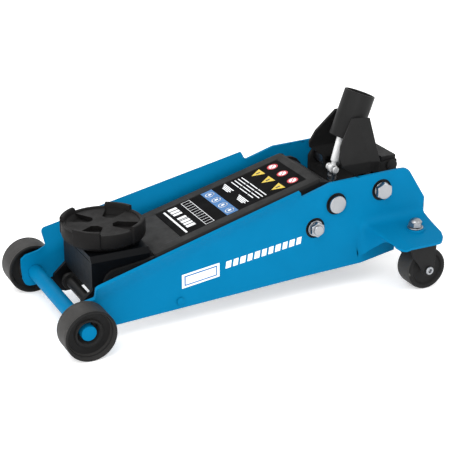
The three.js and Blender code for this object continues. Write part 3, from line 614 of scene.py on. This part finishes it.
# Cross-sections of the stamped wing over the caster, front to rear: where it leaves the plate, its
# fold, and its outer rim, each as (x, y, z).
WING_RIM = [(-582.9, 97.8), (-579.8, 127.7), (-579.8, 152.5), (-573.4, 168.1), (-564.5, 177.4),
            (-555, 177.6), (-507.5, 177.6)]
WING_FRONT = [
    ((-496, 121), (-496, 107.5), (-500, 177, 88)), ((-484, 120), (-485, 107), (-491, 168, 90)),
    ((-472, 116), (-476, 106), (-487, 150, 91.5)), ((-464, 108), (-471, 101), (-488, 133, 85.5)),
    ((-461, 95), (-470, 93), (-485, 115, 72)), ((-461, 80), (-470, 78), (-481, 105, 63.5)),
    ((-462, 62), (-470, 60), (-476, 99.5, 56.5)), ((-464, 52), (-469, 52), (-474, 96.9, 54)),
]


def shelf_shape():
    """The wing over the caster, which curls up into the side plate and down at its front."""
    rim = soften(WING_RIM, 14, closed=False, steps=6)
    def reach(x):
        for (x0, y0), (x1, y1) in zip(rim, rim[1:]):
            if x0 <= x <= x1 and x1 > x0:
                return mix(y0, y1, (x - x0) / (x1 - x0))
        return rim[-1][1]
    rows = []
    close = [WING_RIM[0][0] + 28 * (1 - cos(pi / 2 * k / 18)) for k in range(19)]
    for x in close + [-544, -532, -520, -509]:
        wide = max(PLATE_REAR_Y + 1.5, reach(x))
        rows.append([(x, PLATE_REAR_Y, 121), (x, PLATE_REAR_Y, 107.5),
                     (x, wide, 107.5 - 0.22 * (wide - PLATE_REAR_Y))])
    front = [[(bx, PLATE_REAR_Y, bz), (kx, PLATE_REAR_Y, kz), end]
             for (bx, bz), (kx, kz), end in WING_FRONT]
    rows += threaded([rows[-1]] + front, 4)[1:]
    verts, faces, count = [], [], 24
    for row in rows:
        line = bent(row, 13)
        marks = [0.0]
        for a, b in zip(line, line[1:]):
            marks.append(marks[-1] + (Vector(b) - Vector(a)).length)
        for k in range(count):
            want, i = marks[-1] * k / (count - 1), 0
            while i < len(line) - 2 and marks[i + 1] < want:
                i += 1
            part = (want - marks[i]) / max(1e-6, marks[i + 1] - marks[i])
            verts.append(tuple(Vector(line[i]).lerp(Vector(line[i + 1]), clamp01(part))))
    for a in range(len(rows) - 1):
        for i in range(count - 1):
            k = a * count + i
            faces.append((k, k + count, k + count + 1, k + 1))
    return verts, faces


def threaded(rows, steps):
    """Puts rows between the given ones, on a smooth curve through each of their points."""
    out = []
    for i in range(len(rows) - 1):
        four = [rows[min(max(i + k, 0), len(rows) - 1)] for k in (-1, 0, 1, 2)]
        for step in range(steps):
            t = step / steps
            share = (-t + 2 * t * t - t ** 3, 2 - 5 * t * t + 3 * t ** 3,
                     t + 4 * t * t - 3 * t ** 3, t ** 3 - t * t)
            out.append([tuple(sum(w * row[p][axis] for w, row in zip(share, four)) / 2
                              for axis in range(3)) for p in range(3)])
    return out + [rows[-1]]


def bent(row, radius):
    """Three points in space joined with a round bend at the middle one."""
    start, fold, end = (Vector(p) for p in row)
    a, b = start - fold, end - fold
    reach = min(radius, a.length * 0.9, b.length * 0.8)
    first, last = fold + a.normalized() * reach, fold + b.normalized() * reach
    curve = [(1 - t) ** 2 * first + 2 * t * (1 - t) * fold + t * t * last for t in
             (k / 8 for k in range(9))]
    return [tuple(v) for v in [start, *curve, end]]


side_plates()

# ------------------------------------------------------------------ axle and wheels
AXLE_AT = cross_line(AXLE)


def front_end():
    axle = turned([(0, -137), (11.5, -137), (11.5, 137), (0, 137)], "y", AXLE_AT, round_r=1.2)
    piece("axle_bar", axle, "frame", BLUE, ["front_axle"])
    rod = [(0, -106.5), (5.5, -106.5), (6, -104.7), (4, -103.2), (4, 103.2), (6, 104.7),
           (5.5, 106.5), (0, 106.5)]
    rod = [(r, t * (plate_y(TIE_ROD[0]) + 2.5) / 106.5) for r, t in rod]
    piece("tie_rod_bar", turned(rod, "y", cross_line(TIE_ROD)), "frame", BLUE,
          ["front_tie_rod"])
    wheel = [(11.9, 110.7), (19, 110.7), (21, 116.7), (33, 116.7), (35, 107.7), (37.6, 107.7),
             (39, 109.4), (39, 113), (38.7, 113.4), (39, 113.8), (39, 143.6), (38.7, 144),
             (39, 144.4), (39, 146.6), (37.4, 148.6), (36, 148.6), (35.2, 139.6), (33.4, 139.2),
             (32.4, 134.4), (22, 134), (21, 137.6), (18.2, 137.6), (17.6, 136.4), (17, 122),
             (11.9, 122), (11.9, 110.7)]
    spacer = washer(11.8, 17, 104.3, 110.4)
    for name, side in SIDES:
        piece(f"wheel_rolled_{name}", turned(wheel, "y", AXLE_AT, 96), f"wheel_{name}", NYLON,
              [f"front_wheel_{name}"], side=side, crease=50)
        piece(f"wheel_collar_{name}", turned(spacer, "y", AXLE_AT), "frame", STEEL,
              [f"wheel_spacer_{name}"], side=side)


front_end()


# ------------------------------------------------------------------ casters
FORK_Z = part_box("caster_fork_left")[1].z / MM - 14.3  # the fork's upper race face


def casters():
    sx, sy = STEM
    half = 19.5
    cheek = soften([(sx - 27, FORK_Z - 9), (sx - 27, FORK_Z - 20)]
                   + arc(CASTER_AXLE, 10, 185, 345, 14)
                   + [(sx + 15, FORK_Z - 32), (sx + 21, FORK_Z - 17), (sx + 21, FORK_Z - 9)], 3)
    bridge = soften([(sx - 27, FORK_Z - 11.2), (sx + 21, FORK_Z - 11.2), (sx + 21, FORK_Z - 7),
                     (sx - 27, FORK_Z - 7)], 1.0)
    race = [(0, FORK_Z - 9), (22, FORK_Z - 9), (24, FORK_Z - 6.5), (23, FORK_Z - 4.6),
            (19.5, FORK_Z - 3.4), (19, FORK_Z - 2.4), (13.4, FORK_Z - 0.4), (12.5, FORK_Z),
            (0, FORK_Z)]
    stem = [(0, FORK_Z - 3), (6.5, FORK_Z - 3), (6.5, 106.3), (0, 106.3)]
    half_wheel = [(4.4, 17.6), (9, 17.6), (10.2, 14), (25, 13.4), (27, 17.2), (31, 17.8),
                  (33.2, 16.4), (34, 12.5)]
    wheel = [(r, -y) for r, y in half_wheel] + half_wheel[::-1] + [(4.4, -17.6)]
    nut_z = 100.8
    dome = [(0, nut_z + 9)] + [(9.2 * cos(radians(a)), nut_z + 10 + 5.6 * sin(radians(a)))
                               for a in (0, 15, 30, 45, 60, 75)] + [(0, nut_z + 15.6)]
    nut = merged(turned(hex_profile(11, 8.2, nut_z + 2.4), "z", (sx, sy, 0)),
                 turned(dome, "z", (sx, sy, 0), round_r=0.2),
                 turned([(0, nut_z), (12.4, nut_z), (12.4, nut_z + 2), (0, nut_z + 2)], "z",
                        (sx, sy, 0)))
    at = (CASTER_AXLE[0], sy, CASTER_AXLE[1])
    bolt = merged(turned([(0, -23), (4, -23), (4, 23), (0, 23)], "y", at),
                  turned([(3.2, 22.8), (6.6, 22.8), (6.6, 25.4), (5.8, 26.4), (3.6, 26.4),
                          (3.2, 25.4), (3.2, 22.8)], "y", at, round_r=0.3),
                  turned(hex_profile(7.5, 3.6, 22.8), (0, -1, 0), at))
    for name, side in SIDES:
        fork = merged(prism(cheek, sy - half - 3, sy - half),
                      prism(cheek, sy + half, sy + half + 3),
                      prism(bridge, sy - half - 3, sy + half + 3),
                      turned(race, "z", (sx, sy, 0)), turned(stem, "z", (sx, sy, 0)))
        piece(f"fork_pressed_{name}", fork, f"caster_{name}", BLACK, [f"caster_fork_{name}"],
              bevel=0.7, side=side)
        piece(f"caster_tyre_{name}", turned(wheel, "y", at, 80), f"roller_{name}", NYLON,
              [f"caster_wheel_{name}"], side=side, crease=50)
        piece(f"caster_bolt_{name}", bolt, f"caster_{name}", ZINC, [f"caster_axle_{name}"],
              side=side)
        piece(f"caster_dome_nut_{name}", nut, "frame", ZINC, [f"caster_nut_{name}"], side=side)


casters()


# ------------------------------------------------------------------ lifting arm
def cover_z(x):
    return 107.7 + (-133 - x) * 0.266


COVER_X = (-412.0, -133.0)
COVER_HALF = 69.4
POCKET_DEEP = 1.2  # the label panel's pocket


def arm_cover():
    """A sheet rolled down at both sides; the label panel sits in a shallow pocket."""
    edge = 5.0
    section = [(COVER_HALF, -17)]
    section += [(COVER_HALF - edge * (1 - cos(radians(a))), -edge * (1 - sin(radians(a))))
                for a in range(0, 91, 15)]
    half = section + [(y, 0.0) for y in (56, 49.6, 48.4, 30, 10)]
    line = half + [(-y, z) for y, z in half[::-1]]
    rear, front = COVER_X
    stations = [rear + 8 * (1 - cos(pi / 2 * k / 8)) for k in range(9)] + \
        [-397.1, -395.9, -340, -280, -230, -182.7, -181.4, -150, front - 3, front]
    verts, faces = [], []
    for x in stations:
        back = clamp01((rear + 8 - x) / 8)
        squeeze = 8 * (1 - sqrt(max(0.0, 1 - back * back)))
        tuck = 1.2 * smooth(back * 1.6 - 0.6)
        for y, z in line:
            narrow = y - squeeze * clamp01((abs(y) - 50) / 19) * (1 if y > 0 else -1)
            pocket = POCKET_DEEP if abs(y) < 49 and -396.5 < x < -182 else 0.0
            skirt = z * (1 - 0.5 * back) if z < -edge else z
            verts.append((x, narrow, cover_z(x) + skirt - pocket - tuck * (abs(y) < 66)))
    count = len(line)
    for a in range(len(stations) - 1):
        for i in range(count - 1):
            k = a * count + i
            faces.append((k, k + 1, k + count + 1, k + count))
    piece("arm_cover_rolled", (verts, faces), "lift_arm", BLACK, ["arm_cover"], bevel=0.8,
          crease=40, slab=2.4)


def on_cover(outline, lift, thick):
    """A flat piece on the arm's cover, from an outline in X-Y."""
    low = [(x, y, cover_z(x) - POCKET_DEEP + lift) for x, y in outline]
    return between(low, [(x, y, z + thick) for x, y, z in low])


def bar(x0, x1, y0, y1):
    return [(x0, y0), (x1, y0), (x1, y1), (x0, y1)]


def slanted(x, y, reach, wide):
    """A thin bar across a round mark."""
    along_bar, across = Vector((0.7, 0.7)) * reach, Vector((-0.7, 0.7)) * wide / 2
    middle = Vector((x, y))
    return [tuple(middle + p) for p in (-along_bar - across, along_bar - across, along_bar + across,
                                        across - along_bar)]


def label_panel():
    panel = soften(bar(-395.6, -182.9, -48, 48), 2.5)
    piece("label_panel", on_cover(panel, 0.05, 0.5), "lift_arm", GLOSS)
    ink = {"white": [], "blue": [], "yellow": [], "red": [], "dark": []}
    def put(colour, outline):
        ink[colour].append(on_cover(outline, 0.5, 0.2))
    put("white", bar(-196, -193, -42, 44))
    spread = -44
    for width in (10, 10, 9, 0, 9, 4, 10, 9, 10):  # bold blocks with one gap
        if width:
            put("white", [(-215, spread + 1), (-201, spread), (-201, spread + width - 2.6),
                          (-215, spread + width - 1.6)])
        spread += width or 7
    for row in (-239, -225):
        put("white", bar(row - 0.7, row, -46, 46))
    for k in range(12):
        put("white", bar(-239, -225.7, -46 + 8.3 * k, -45.4 + 8.3 * k))
    put("blue", bar(-279, -260, -48, 48))
    for k in range(4):
        put("white", arc((-269.5, -34 + 23.5 * k), 7.4, 0, 360, 28)[:-1])
    for y in (-31, 20):
        for k in range(4):
            x = -302 + 2.6 * k
            put("white", bar(x, x + 1.6, y - 15 + 3 * k, y + 17 - 4 * (k % 2)))
    for row, x in enumerate((-311, -317, -323, -329)):
        for k in range(3):
            put("white", bar(x - 1.5, x, -43 + 29 * k, -17 + 29 * k - 9 * (row == 0 and k == 2)))
    for k in range(3):
        y = -33.5 + 33.5 * k
        put("yellow", [(-361, y - 11), (-361, y + 11), (-342.5, y)])
        put("red", arc((-379.5, y), 8.6, 0, 360, 32)[:-1])
    for k in range(3):
        y = -33.5 + 33.5 * k
        ink["white"].append(on_cover(arc((-379.5, y), 5.9, 0, 360, 24)[:-1], 0.7, 0.1))
        ink["red"].append(on_cover(slanted(-379.5, y, 5.6, 1.5), 0.8, 0.1))
        ink["dark"].append(on_cover(bar(-357.5, -350.5, y - 1.6, y + 1.6), 0.7, 0.1))
    for k in range(4):
        y = -34 + 23.5 * k
        ink["blue"].append(on_cover(arc((-269.5, y), 5.6, 0, 360, 24)[:-1], 0.7, 0.1))
        ink["white"].append(on_cover(bar(-272, -267, y - 2, y + 2), 0.8, 0.1))
    for colour, shapes in ink.items():
        piece(f"label_{colour}", merged(*shapes), "lift_arm", PRINT[colour])


arm_cover()
label_panel()
for name, _ in SIDES:
    keep(f"arm_plate_{name}", BLACK, 1.0)
    keep(f"levelling_link_{name}", BLACK, 0.9)
keep("arm_lever", BLACK, 0.9)
# the saddle bracket's darker black is painted shade
keep("saddle_bracket", SHADED_BLACK, 1.0, 40)


def pins():
    """Round cross pins with heads at both ends."""
    def headed(reach, r, head_r, head_t):
        end = reach + head_t
        line = [(0, 0), (r, 0), (r, reach), (head_r, reach), (head_r, end), (0, end)]
        return [(a, -t) for a, t in line[:1:-1]] + line[2:]
    shaft = turned(headed(PLATE_OUTER_Y, 11, 14, 4.5), "y", cross_line(ARM_PIVOT), round_r=1.1)
    piece("pivot_shaft_ground", shaft, "frame", ZINC, ["arm_pivot_shaft"])
    pin = turned(headed(ARM_CLEAR_Y, 10, 13, 3), "y", cross_line(SADDLE_PIN))
    piece("saddle_pin_ground", pin, "lift_arm", STEEL, ["saddle_pin"])
    rod = turned(headed(60.3, 8, 10, 2.5), "y", cross_line(LINK_FRONT))
    piece("link_rod_ground", rod, "bracket", BLACK, ["link_cross_rod"])
    ring = turned(washer(17.3, 23, 103, 109.7), "z", (*SADDLE, 0))
    piece("saddle_ring", ring, "bracket", STEEL, ["saddle_retaining_ring"])
    for name, side in SIDES:
        spacer = washer(11.3, 16, ARM_CLEAR_Y, PLATE_INNER_Y)
        piece(f"pivot_collar_{name}", turned(spacer, "y", cross_line(ARM_PIVOT)), "frame",
              STEEL, [f"pivot_spacer_{name}"], side=side)
        at = cross_line(LINK_REAR)
        bolt = merged(turned(hex_profile(11, 3.7, 33), "y", at),
                      turned([(0, 35), (8, 35), (8, 43.3), (9, 43.3), (9, PLATE_INNER_Y),
                              (8, PLATE_INNER_Y), (8, 108.6), (7.2, 109.5), (0, 109.5)], "y", at,
                             round_r=0.5))
        nut = merged(turned(hex_profile(12, 7.4, 99), "y", at),
                     turned(washer(8.2, 12.6, PLATE_OUTER_Y, PLATE_OUTER_Y + 2), "y", at))
        piece(f"link_bolt_turned_{name}", bolt, "frame", ZINC, [f"link_bolt_{name}"], side=side)
        piece(f"link_nut_cut_{name}", nut, "frame", ZINC, [f"link_nut_{name}"], side=side)


pins()


# ------------------------------------------------------------------ saddle
def saddle():
    """A dished disc with a raised cross, four deep pockets and four lugs in its rim."""
    rim, outer = 147.4, 64.0
    def line(angle):
        lug = smooth((radians(21.5) - abs((angle + pi / 4) % (pi / 2) - pi / 4)) / radians(1.6))
        top = rim + 5.7 * lug
        r = outer - 2.2 * (1 - lug)
        return [(0, 118.6), (48, 118.6), (52, 119.4), (r - 3, 125), (r - 0.8, 127.5), (r, 130),
                (r, top - 1.2), (r - 0.5, top - 0.3), (r - 1.5, top), (r - 5.2, top),
                (r - 6.2, top - 0.5), (r - 7, top - 2), (r - 8.2, rim - 2.6), (r - 9, rim - 3),
                (r - 16, rim - 8.6), (0, rim - 8.8)]
    shapes = [turned(line, "z", (*SADDLE, 0), 200),
              turned([(0, 101.5), (16.8, 101.5), (16.8, 119.5), (0, 119.5)], "z", (*SADDLE, 0))]
    for quarter in range(4):
        shapes.append(star_arm(radians(90 * quarter)))
    piece("saddle_cast", merged(*shapes), "saddle", CAST, ["saddle"], bevel=0.7, crease=35)


def star_arm(turn):
    """A quarter of the raised cross: it leaves a pocket that widens outwards on each side."""
    pocket = [(20.5, 9.5), (47, 16)]  # half of a pocket's sides: (distance out, half its width)
    edge = [Vector((r * 0.7071 + w * 0.7071, r * 0.7071 - w * 0.7071)) for r, w in pocket]
    rim = arc((0, 0), 56.5, 26, 0, 6)
    end = Vector((cos(radians(27)), sin(radians(27)))) * 56.5
    half = [(0, 0), (11.5, 11.5), tuple(edge[0]), tuple(edge[1]), tuple(end)] + rim
    outline = half + [(x, -y) for x, y in half[1:-1][::-1]]
    flat = [(SADDLE[0] + x * cos(turn) - y * sin(turn), x * sin(turn) + y * cos(turn))
            for x, y in outline]
    return between([(x, y, 137) for x, y in flat], [(x, y, 145.4) for x, y in flat])


saddle()


# ------------------------------------------------------------------ hydraulic unit and pump
def hydraulics():
    at = (0, 0, RAM_Z)
    tube = washer(14.3, 28, -518, -476)
    piece("cylinder_honed", turned(tube, "x", at), "frame", STEEL, ["ram_cylinder"])
    front = CROSSHEAD[0]
    rod = merged(turned([(0, -540), (14, -540), (14, front - 9), (0, front - 9)], "x", at),
                 block(front - 15, front + 14, -17, 17, RAM_Z - 14, RAM_Z + 14))
    piece("ram_chromed", rod, "ram", STEEL, ["ram"], bevel=1.0)
    pin = turned([(0, -50), (9, -50), (9, 50), (0, 50)], "y", (front, 0, RAM_Z), round_r=1)
    piece("crosshead_bar", pin, "ram", STEEL, ["crosshead_pin"])
    for name, side in SIDES:
        y = 46
        rear_hook = [(-519, 0), (-514, 5.4), (-508, 4), (-506, 4.6)]
        front_hook = [(front - 14, 4.6), (front - 11, 9.9), (front - 4, 10.2), (front + 4, 10)]
        spring = merged(coil((-506, y, RAM_Z), (front - 14, y, RAM_Z), 5.0, 0.9, 20),
                        *(swept([(x, y, RAM_Z + rise) for x, rise in hook], 0.9)
                          for hook in (rear_hook, front_hook)))
        obj = piece(f"return_coil_{name}", spring, "frame", STEEL, [f"return_spring_{name}"],
                    side=side)
        loose(obj)
        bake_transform(obj)
        screw_at = (0, 50, 117)
        screw = merged(turned([(0, -578), (3.5, -578), (3.5, -556), (0, -556)], "x", screw_at),
                       turned(hex_profile(6.5, 5, 577.3), (-1, 0, 0), screw_at))
        piece(f"unit_screw_cut_{name}", screw, "frame", ZINC, [f"unit_screw_{name}"], side=side)
    pump_at = (*PUMP, 0)
    plunger = [(0, 100), (6, 100), (6, 150), (11, 150), (11, 154.2), (9.5, 155), (0, 155)]
    piece("plunger_ground", turned(plunger, "z", pump_at), "plunger", STEEL, ["pump_plunger"])
    spring = coil((*PUMP, 126), (*PUMP, 148.6), 8.6, 1.1, 5)
    obj = piece("pump_coil", spring, "frame", STEEL, ["pump_spring"])
    loose(obj)
    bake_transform(obj)
    keep("hydraulic_block", BLACK, 1.2)
    keep("rear_cross_plate", BLACK, 0.8)
    keep("oil_reservoir", BLACK, 0.8, 30)
    keep("gland_nut", STEEL, 0.8, 25)


def loose(obj):
    """Takes a piece off its body, so that it belongs to none."""
    obj.parent = None
    if "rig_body" in obj:
        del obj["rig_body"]


hydraulics()


def release_gear():
    x, z = VALVE[0], 167
    post = [(0, 124.5), (4, 124.5), (4, 147), (7, 149), (7, 157), (0, 157)]
    ear = soften([(x - 4.6, z - 11.5), (x + 4.6, z - 11.5), (x + 4, z + 2), (x + 1.5, z + 5),
                  (x - 1.5, z + 5), (x - 4, z + 2)], 1.5)
    ears = [prism(ear, y, y + 2.7) for y in (-7, 4.3)]
    piece("valve_joint", merged(turned(post, "z", (*VALVE, 0)), *ears), "frame", ZINC,
          ["release_valve"], bevel=0.5)
    lean = radians(14.3)
    up = Vector((-sin(lean), 0, cos(lean)))
    rod = turned([(0, 4.6), (3.8, 4.6), (3.8, 11), (6, 12.5), (4.7, 99), (3.9, 100), (0, 100)], up,
                 (x, 0, z), 40)
    eye = turned([(0, -4), (7, -4), (7, 4), (0, 4)], "y", (x, 0, z), 40)
    # the rod's near-white colour is a painted reflection
    piece("release_rod_plated", merged(rod, eye), "release", PAINTED_SHEEN_PLATING, ["release_rod"])
    pin = [(0, -12.5), (4.6, -12.5), (5.4, -11.5), (5.4, -9.5), (3, -9.4), (3, 9.4), (5.4, 9.5),
           (5.4, 11.5), (4.6, 12.5), (0, 12.5)]
    piece("release_joint_pin", turned(pin, "y", (x, 0, z), 32, 0.4), "frame", PAINTED_SHEEN_PLATING)


release_gear()


# ------------------------------------------------------------------ handle socket and yoke
SOCKET_LOW, SOCKET_HIGH = Vector((-490.2, 0, 216.2)), Vector((-516.4, 0, 286.9))
YOKE_FRONT = [(158, -486), (171, -480), (188, -457), (200, -453.5), (220, -460), (256, -487)]
YOKE_FOLD = [(158, -506), (192, -506), (256, -493)]
YOKE_REAR = [(158, -522), (172, -524), (192, -520), (222, -517), (256, -514)]
LEAF_LEVELS = [158, 162, 166, 171, 175, 179, 183.5, 188, 190, 194, 200, 206, 213, 220, 229, 238,
               247, 256]
FOOT_Y = (49.5, 54)  # both faces of a yoke foot
LEAF_TOP_Y, LEAF_FLARE = 28, 8  # outer face at the socket; how far the rear edge turns out


def along(line, z):
    """X of a yoke plate's line at a height."""
    for (z0, x0), (z1, x1) in zip(line, line[1:]):
        if z <= z1:
            return mix(x0, x1, (z - z0) / (z1 - z0))
    return line[-1][1]


def yoke():
    up = SOCKET_HIGH - SOCKET_LOW
    length = up.length
    tube = [(21.5, 0), (25, 0), (25, length - 1), (24, length), (21.5, length), (21.5, 0)]
    piece("socket_tube", turned(tube, up, SOCKET_LOW, 96, 0.5), "yoke", BLACK, ["handle_socket"])
    for name, side in SIDES:
        verts, faces = [], []
        for z in LEAF_LEVELS:
            front, fold, rear = (along(line, z) for line in (YOKE_FRONT, YOKE_FOLD, YOKE_REAR))
            face = mix(FOOT_Y[1], LEAF_TOP_Y, clamp01((z - 190) / 66))
            flare = LEAF_FLARE * smooth((z - 172) / 20)
            for share in (0, 0.33, 0.66, 1):
                verts.append((mix(rear, fold - 0.6, share), face + flare * (1 - share), z))
            for share in (0, 0.02, 0.25, 0.5, 0.75, 1):
                verts.append((mix(fold + 0.6, front, share), face, z))
        count = 10
        for a in range(len(LEAF_LEVELS) - 1):
            for i in range(count - 1):
                k = a * count + i
                faces.append((k, k + count, k + count + 1, k + 1))
        leaf = piece(f"yoke_leaf_{name}", (verts, faces), "yoke", BLACK, [f"yoke_plate_{name}"],
                     crease=12, side=side, slab=FOOT_Y[1] - FOOT_Y[0])
        trim_leaf(leaf, up)
        foot_line = soften(arc(YOKE_PIVOT, 21, 150, 390, 24) + [(-484, 172), (-522, 172)], 1)
        foot = prism(foot_line, *FOOT_Y)
        tab = prism(soften([(-508, 164), (-556, 168), (-556, 188), (-508, 183)], 3), *FOOT_Y)
        piece(f"yoke_foot_{name}", merged(foot, tab), "yoke", BLACK, bevel=0.6, side=side)
        at = cross_line(YOKE_PIVOT)
        bolt = merged(turned([(0, 43.5), (8, 43.5), (8, 98), (0, 98)], "y", at),
                      turned([(0, 96.8), (13.2, 96.8), (13.2, 98.8), (0, 98.8)], "y", at),
                      turned(hex_profile(14, 8.4, 98.3), "y", at))
        piece(f"yoke_bolt_cut_{name}", bolt, "frame", ZINC, [f"yoke_bolt_{name}"], side=side)
        collar = washer(8.3, 14, YOKE_CLEAR_Y, PLATE_INNER_Y)
        piece(f"yoke_collar_{name}", turned(collar, "y", at), "frame", STEEL,
              [f"yoke_spacer_{name}"], side=side)
    half = [(6, YOKE_CLEAR_Y), (9, YOKE_CLEAR_Y), (9, YOKE_CLEAR_Y + 3), (0, YOKE_CLEAR_Y + 3)]
    rod = [(r, -y) for r, y in half[::-1]] + half
    piece("yoke_rod", turned(rod, "y", cross_line(YOKE_BAR)), "yoke", BLACK, ["yoke_bar"])
    y = PUMP[1]
    drum = [(0, y - 14), (3.5, y - 14), (3.5, y - 7.5), (9, y - 7.5), (9, y + 7.5), (3.5, y + 7.5),
            (3.5, y + 14), (0, y + 14)]
    piece("roller_drum", turned(drum, "y", cross_line(ROLLER)), "yoke", STEEL,
          ["pump_roller"])
    keep("yoke_crosspiece", BLACK, 1.6)


def trim_leaf(leaf, up):
    """Cuts the socket's room out of a yoke plate and rounds its edges."""
    verts, faces = turned([(0, -40), (24.6, -40), (24.6, 90), (0, 90)], up, SOCKET_LOW, 64, 0.01)
    mesh = bpy.data.meshes.new("cutter")
    mesh.from_pydata([place(v) for v in verts], [], faces)
    work = bmesh.new()
    work.from_mesh(mesh)
    bmesh.ops.remove_doubles(work, verts=work.verts, dist=1e-6)
    bmesh.ops.recalc_face_normals(work, faces=work.faces)
    work.to_mesh(mesh)
    work.free()
    cutter = bpy.data.objects.new("cutter", mesh)
    bpy.context.scene.collection.objects.link(cutter)
    cut = leaf.modifiers.new("socket", "BOOLEAN")
    cut.object, cut.operation, cut.solver = cutter, "DIFFERENCE", "EXACT"
    bpy.context.view_layer.update()
    view = bpy.context.evaluated_depsgraph_get()
    made = bpy.data.meshes.new_from_object(leaf.evaluated_get(view))
    leaf.modifiers.clear()
    leaf.data = made
    bpy.data.objects.remove(cutter)
    finish_piece(leaf, BLACK, 0.8, 16)


yoke()


# ------------------------------------------------------------------ plain marks on the side plates
def side_marks():
    """A plain white patch and a row of slanted dashes, on the plate's outer face."""
    def patch(outline, lift):
        low = [(x, plate_y(x) + lift, z) for x, z in outline]
        return between(low, [(x, y + 0.15, z) for x, y, z in low])
    slope = 0.12
    def lifted(x, z):
        return x, z + (-160 - x) * slope
    white = [patch([lifted(-160, 61), lifted(-160, 83), lifted(-222, 83), lifted(-222, 61)], 0.03)]
    blue = [patch([lifted(-164, 64), lifted(-164, 80), lifted(-218, 80), lifted(-218, 64)], 0.2)]
    white.append(patch([lifted(-166, 66), lifted(-166, 78), lifted(-216, 78), lifted(-216, 66)],
                       0.36))
    x = -232
    for width in (9, 8, 9, 8, 9, 8, 8, 9, 8, 9, 8):
        white.append(patch([lifted(x, 70), lifted(x - 1.5, 81), lifted(x - width - 1.5, 81),
                            lifted(x - width, 70)], 0.03))
        x -= width + 3.6
    for name, side in SIDES:
        piece(f"mark_white_{name}", merged(*white), "frame", PRINT["white"], side=side)
        piece(f"mark_blue_{name}", merged(*blue), "frame", PRINT["blue"], side=side)


side_marks()


# ------------------------------------------------------------------ stage, light and camera
def studio():
    size = 6.0
    mesh = bpy.data.meshes.new("floor")
    mesh.from_pydata([(-size, -size, 0), (size, -size, 0), (size, size, 0), (-size, size, 0)], [],
                     [(0, 1, 2, 3)])
    floor = bpy.data.objects.new("floor", mesh)
    bpy.context.scene.collection.objects.link(floor)
    paper = Nodes("floor_paper")
    tint = paper.blend(paper.ramp(paper.noise(3.0), 0.3, 0.7), (0.9, 0.9, 0.9, 1),
                       (0.92, 0.92, 0.92, 1))
    paper.link(tint, paper.shader.inputs["Base Color"])
    paper.shader.inputs["Roughness"].default_value = 0.9
    paper.link(tint, paper.shader.inputs["Emission Color"])
    paper.shader.inputs["Emission Strength"].default_value = 0.4
    mesh.materials.append(paper.material)

    world = bpy.data.worlds.new("studio")
    bpy.context.scene.world = world
    world.use_nodes = True
    back = world.node_tree.nodes["Background"]
    back.inputs["Color"].default_value = (1, 1, 1, 1)
    back.inputs["Strength"].default_value = 1.0

    def lamp(name, spot, aim, power, width):
        light = bpy.data.lights.new(name, "AREA")
        light.energy, light.shape, light.size = power, "DISK", width
        obj = bpy.data.objects.new(name, light)
        bpy.context.scene.collection.objects.link(obj)
        obj.location = spot
        obj.rotation_euler = (Vector(aim) - Vector(spot)).to_track_quat("-Z", "Y").to_euler()
    lamp("key", (0.9, 1.0, 1.7), (0, 0, 0.1), 14, 1.2)
    lamp("fill", (0.8, 1.9, 0.75), (-0.1, 0, 0.15), 9, 0.9)
    lamp("front", (1.9, 0.25, 0.55), (-0.1, 0, 0.12), 7, 0.7)
    lamp("side", (-1.3, 1.4, 0.9), (0, 0, 0.1), 6, 1.0)
    lamp("back", (0.2, -1.6, 1.4), (0, 0, 0.1), 7, 1.2)


def camera():
    azimuth, elevation, distance = radians(154.05), radians(22.65), 2.1526
    look = place((-281.3, 0, 101.3))
    away = Vector((sin(azimuth) * cos(elevation), -cos(azimuth) * cos(elevation), sin(elevation)))
    data = bpy.data.cameras.new("camera")
    data.lens, data.sensor_width, data.clip_end = 109.92, 36.0, 50.0
    obj = bpy.data.objects.new("camera", data)
    bpy.context.scene.collection.objects.link(obj)
    obj.location = look + away * distance
    obj.rotation_euler = away.to_track_quat("Z", "Y").to_euler()
    bpy.context.scene.camera = obj


studio()
camera()
bpy.context.scene.view_settings.view_transform = "Standard"

bpy.context.view_layer.update()
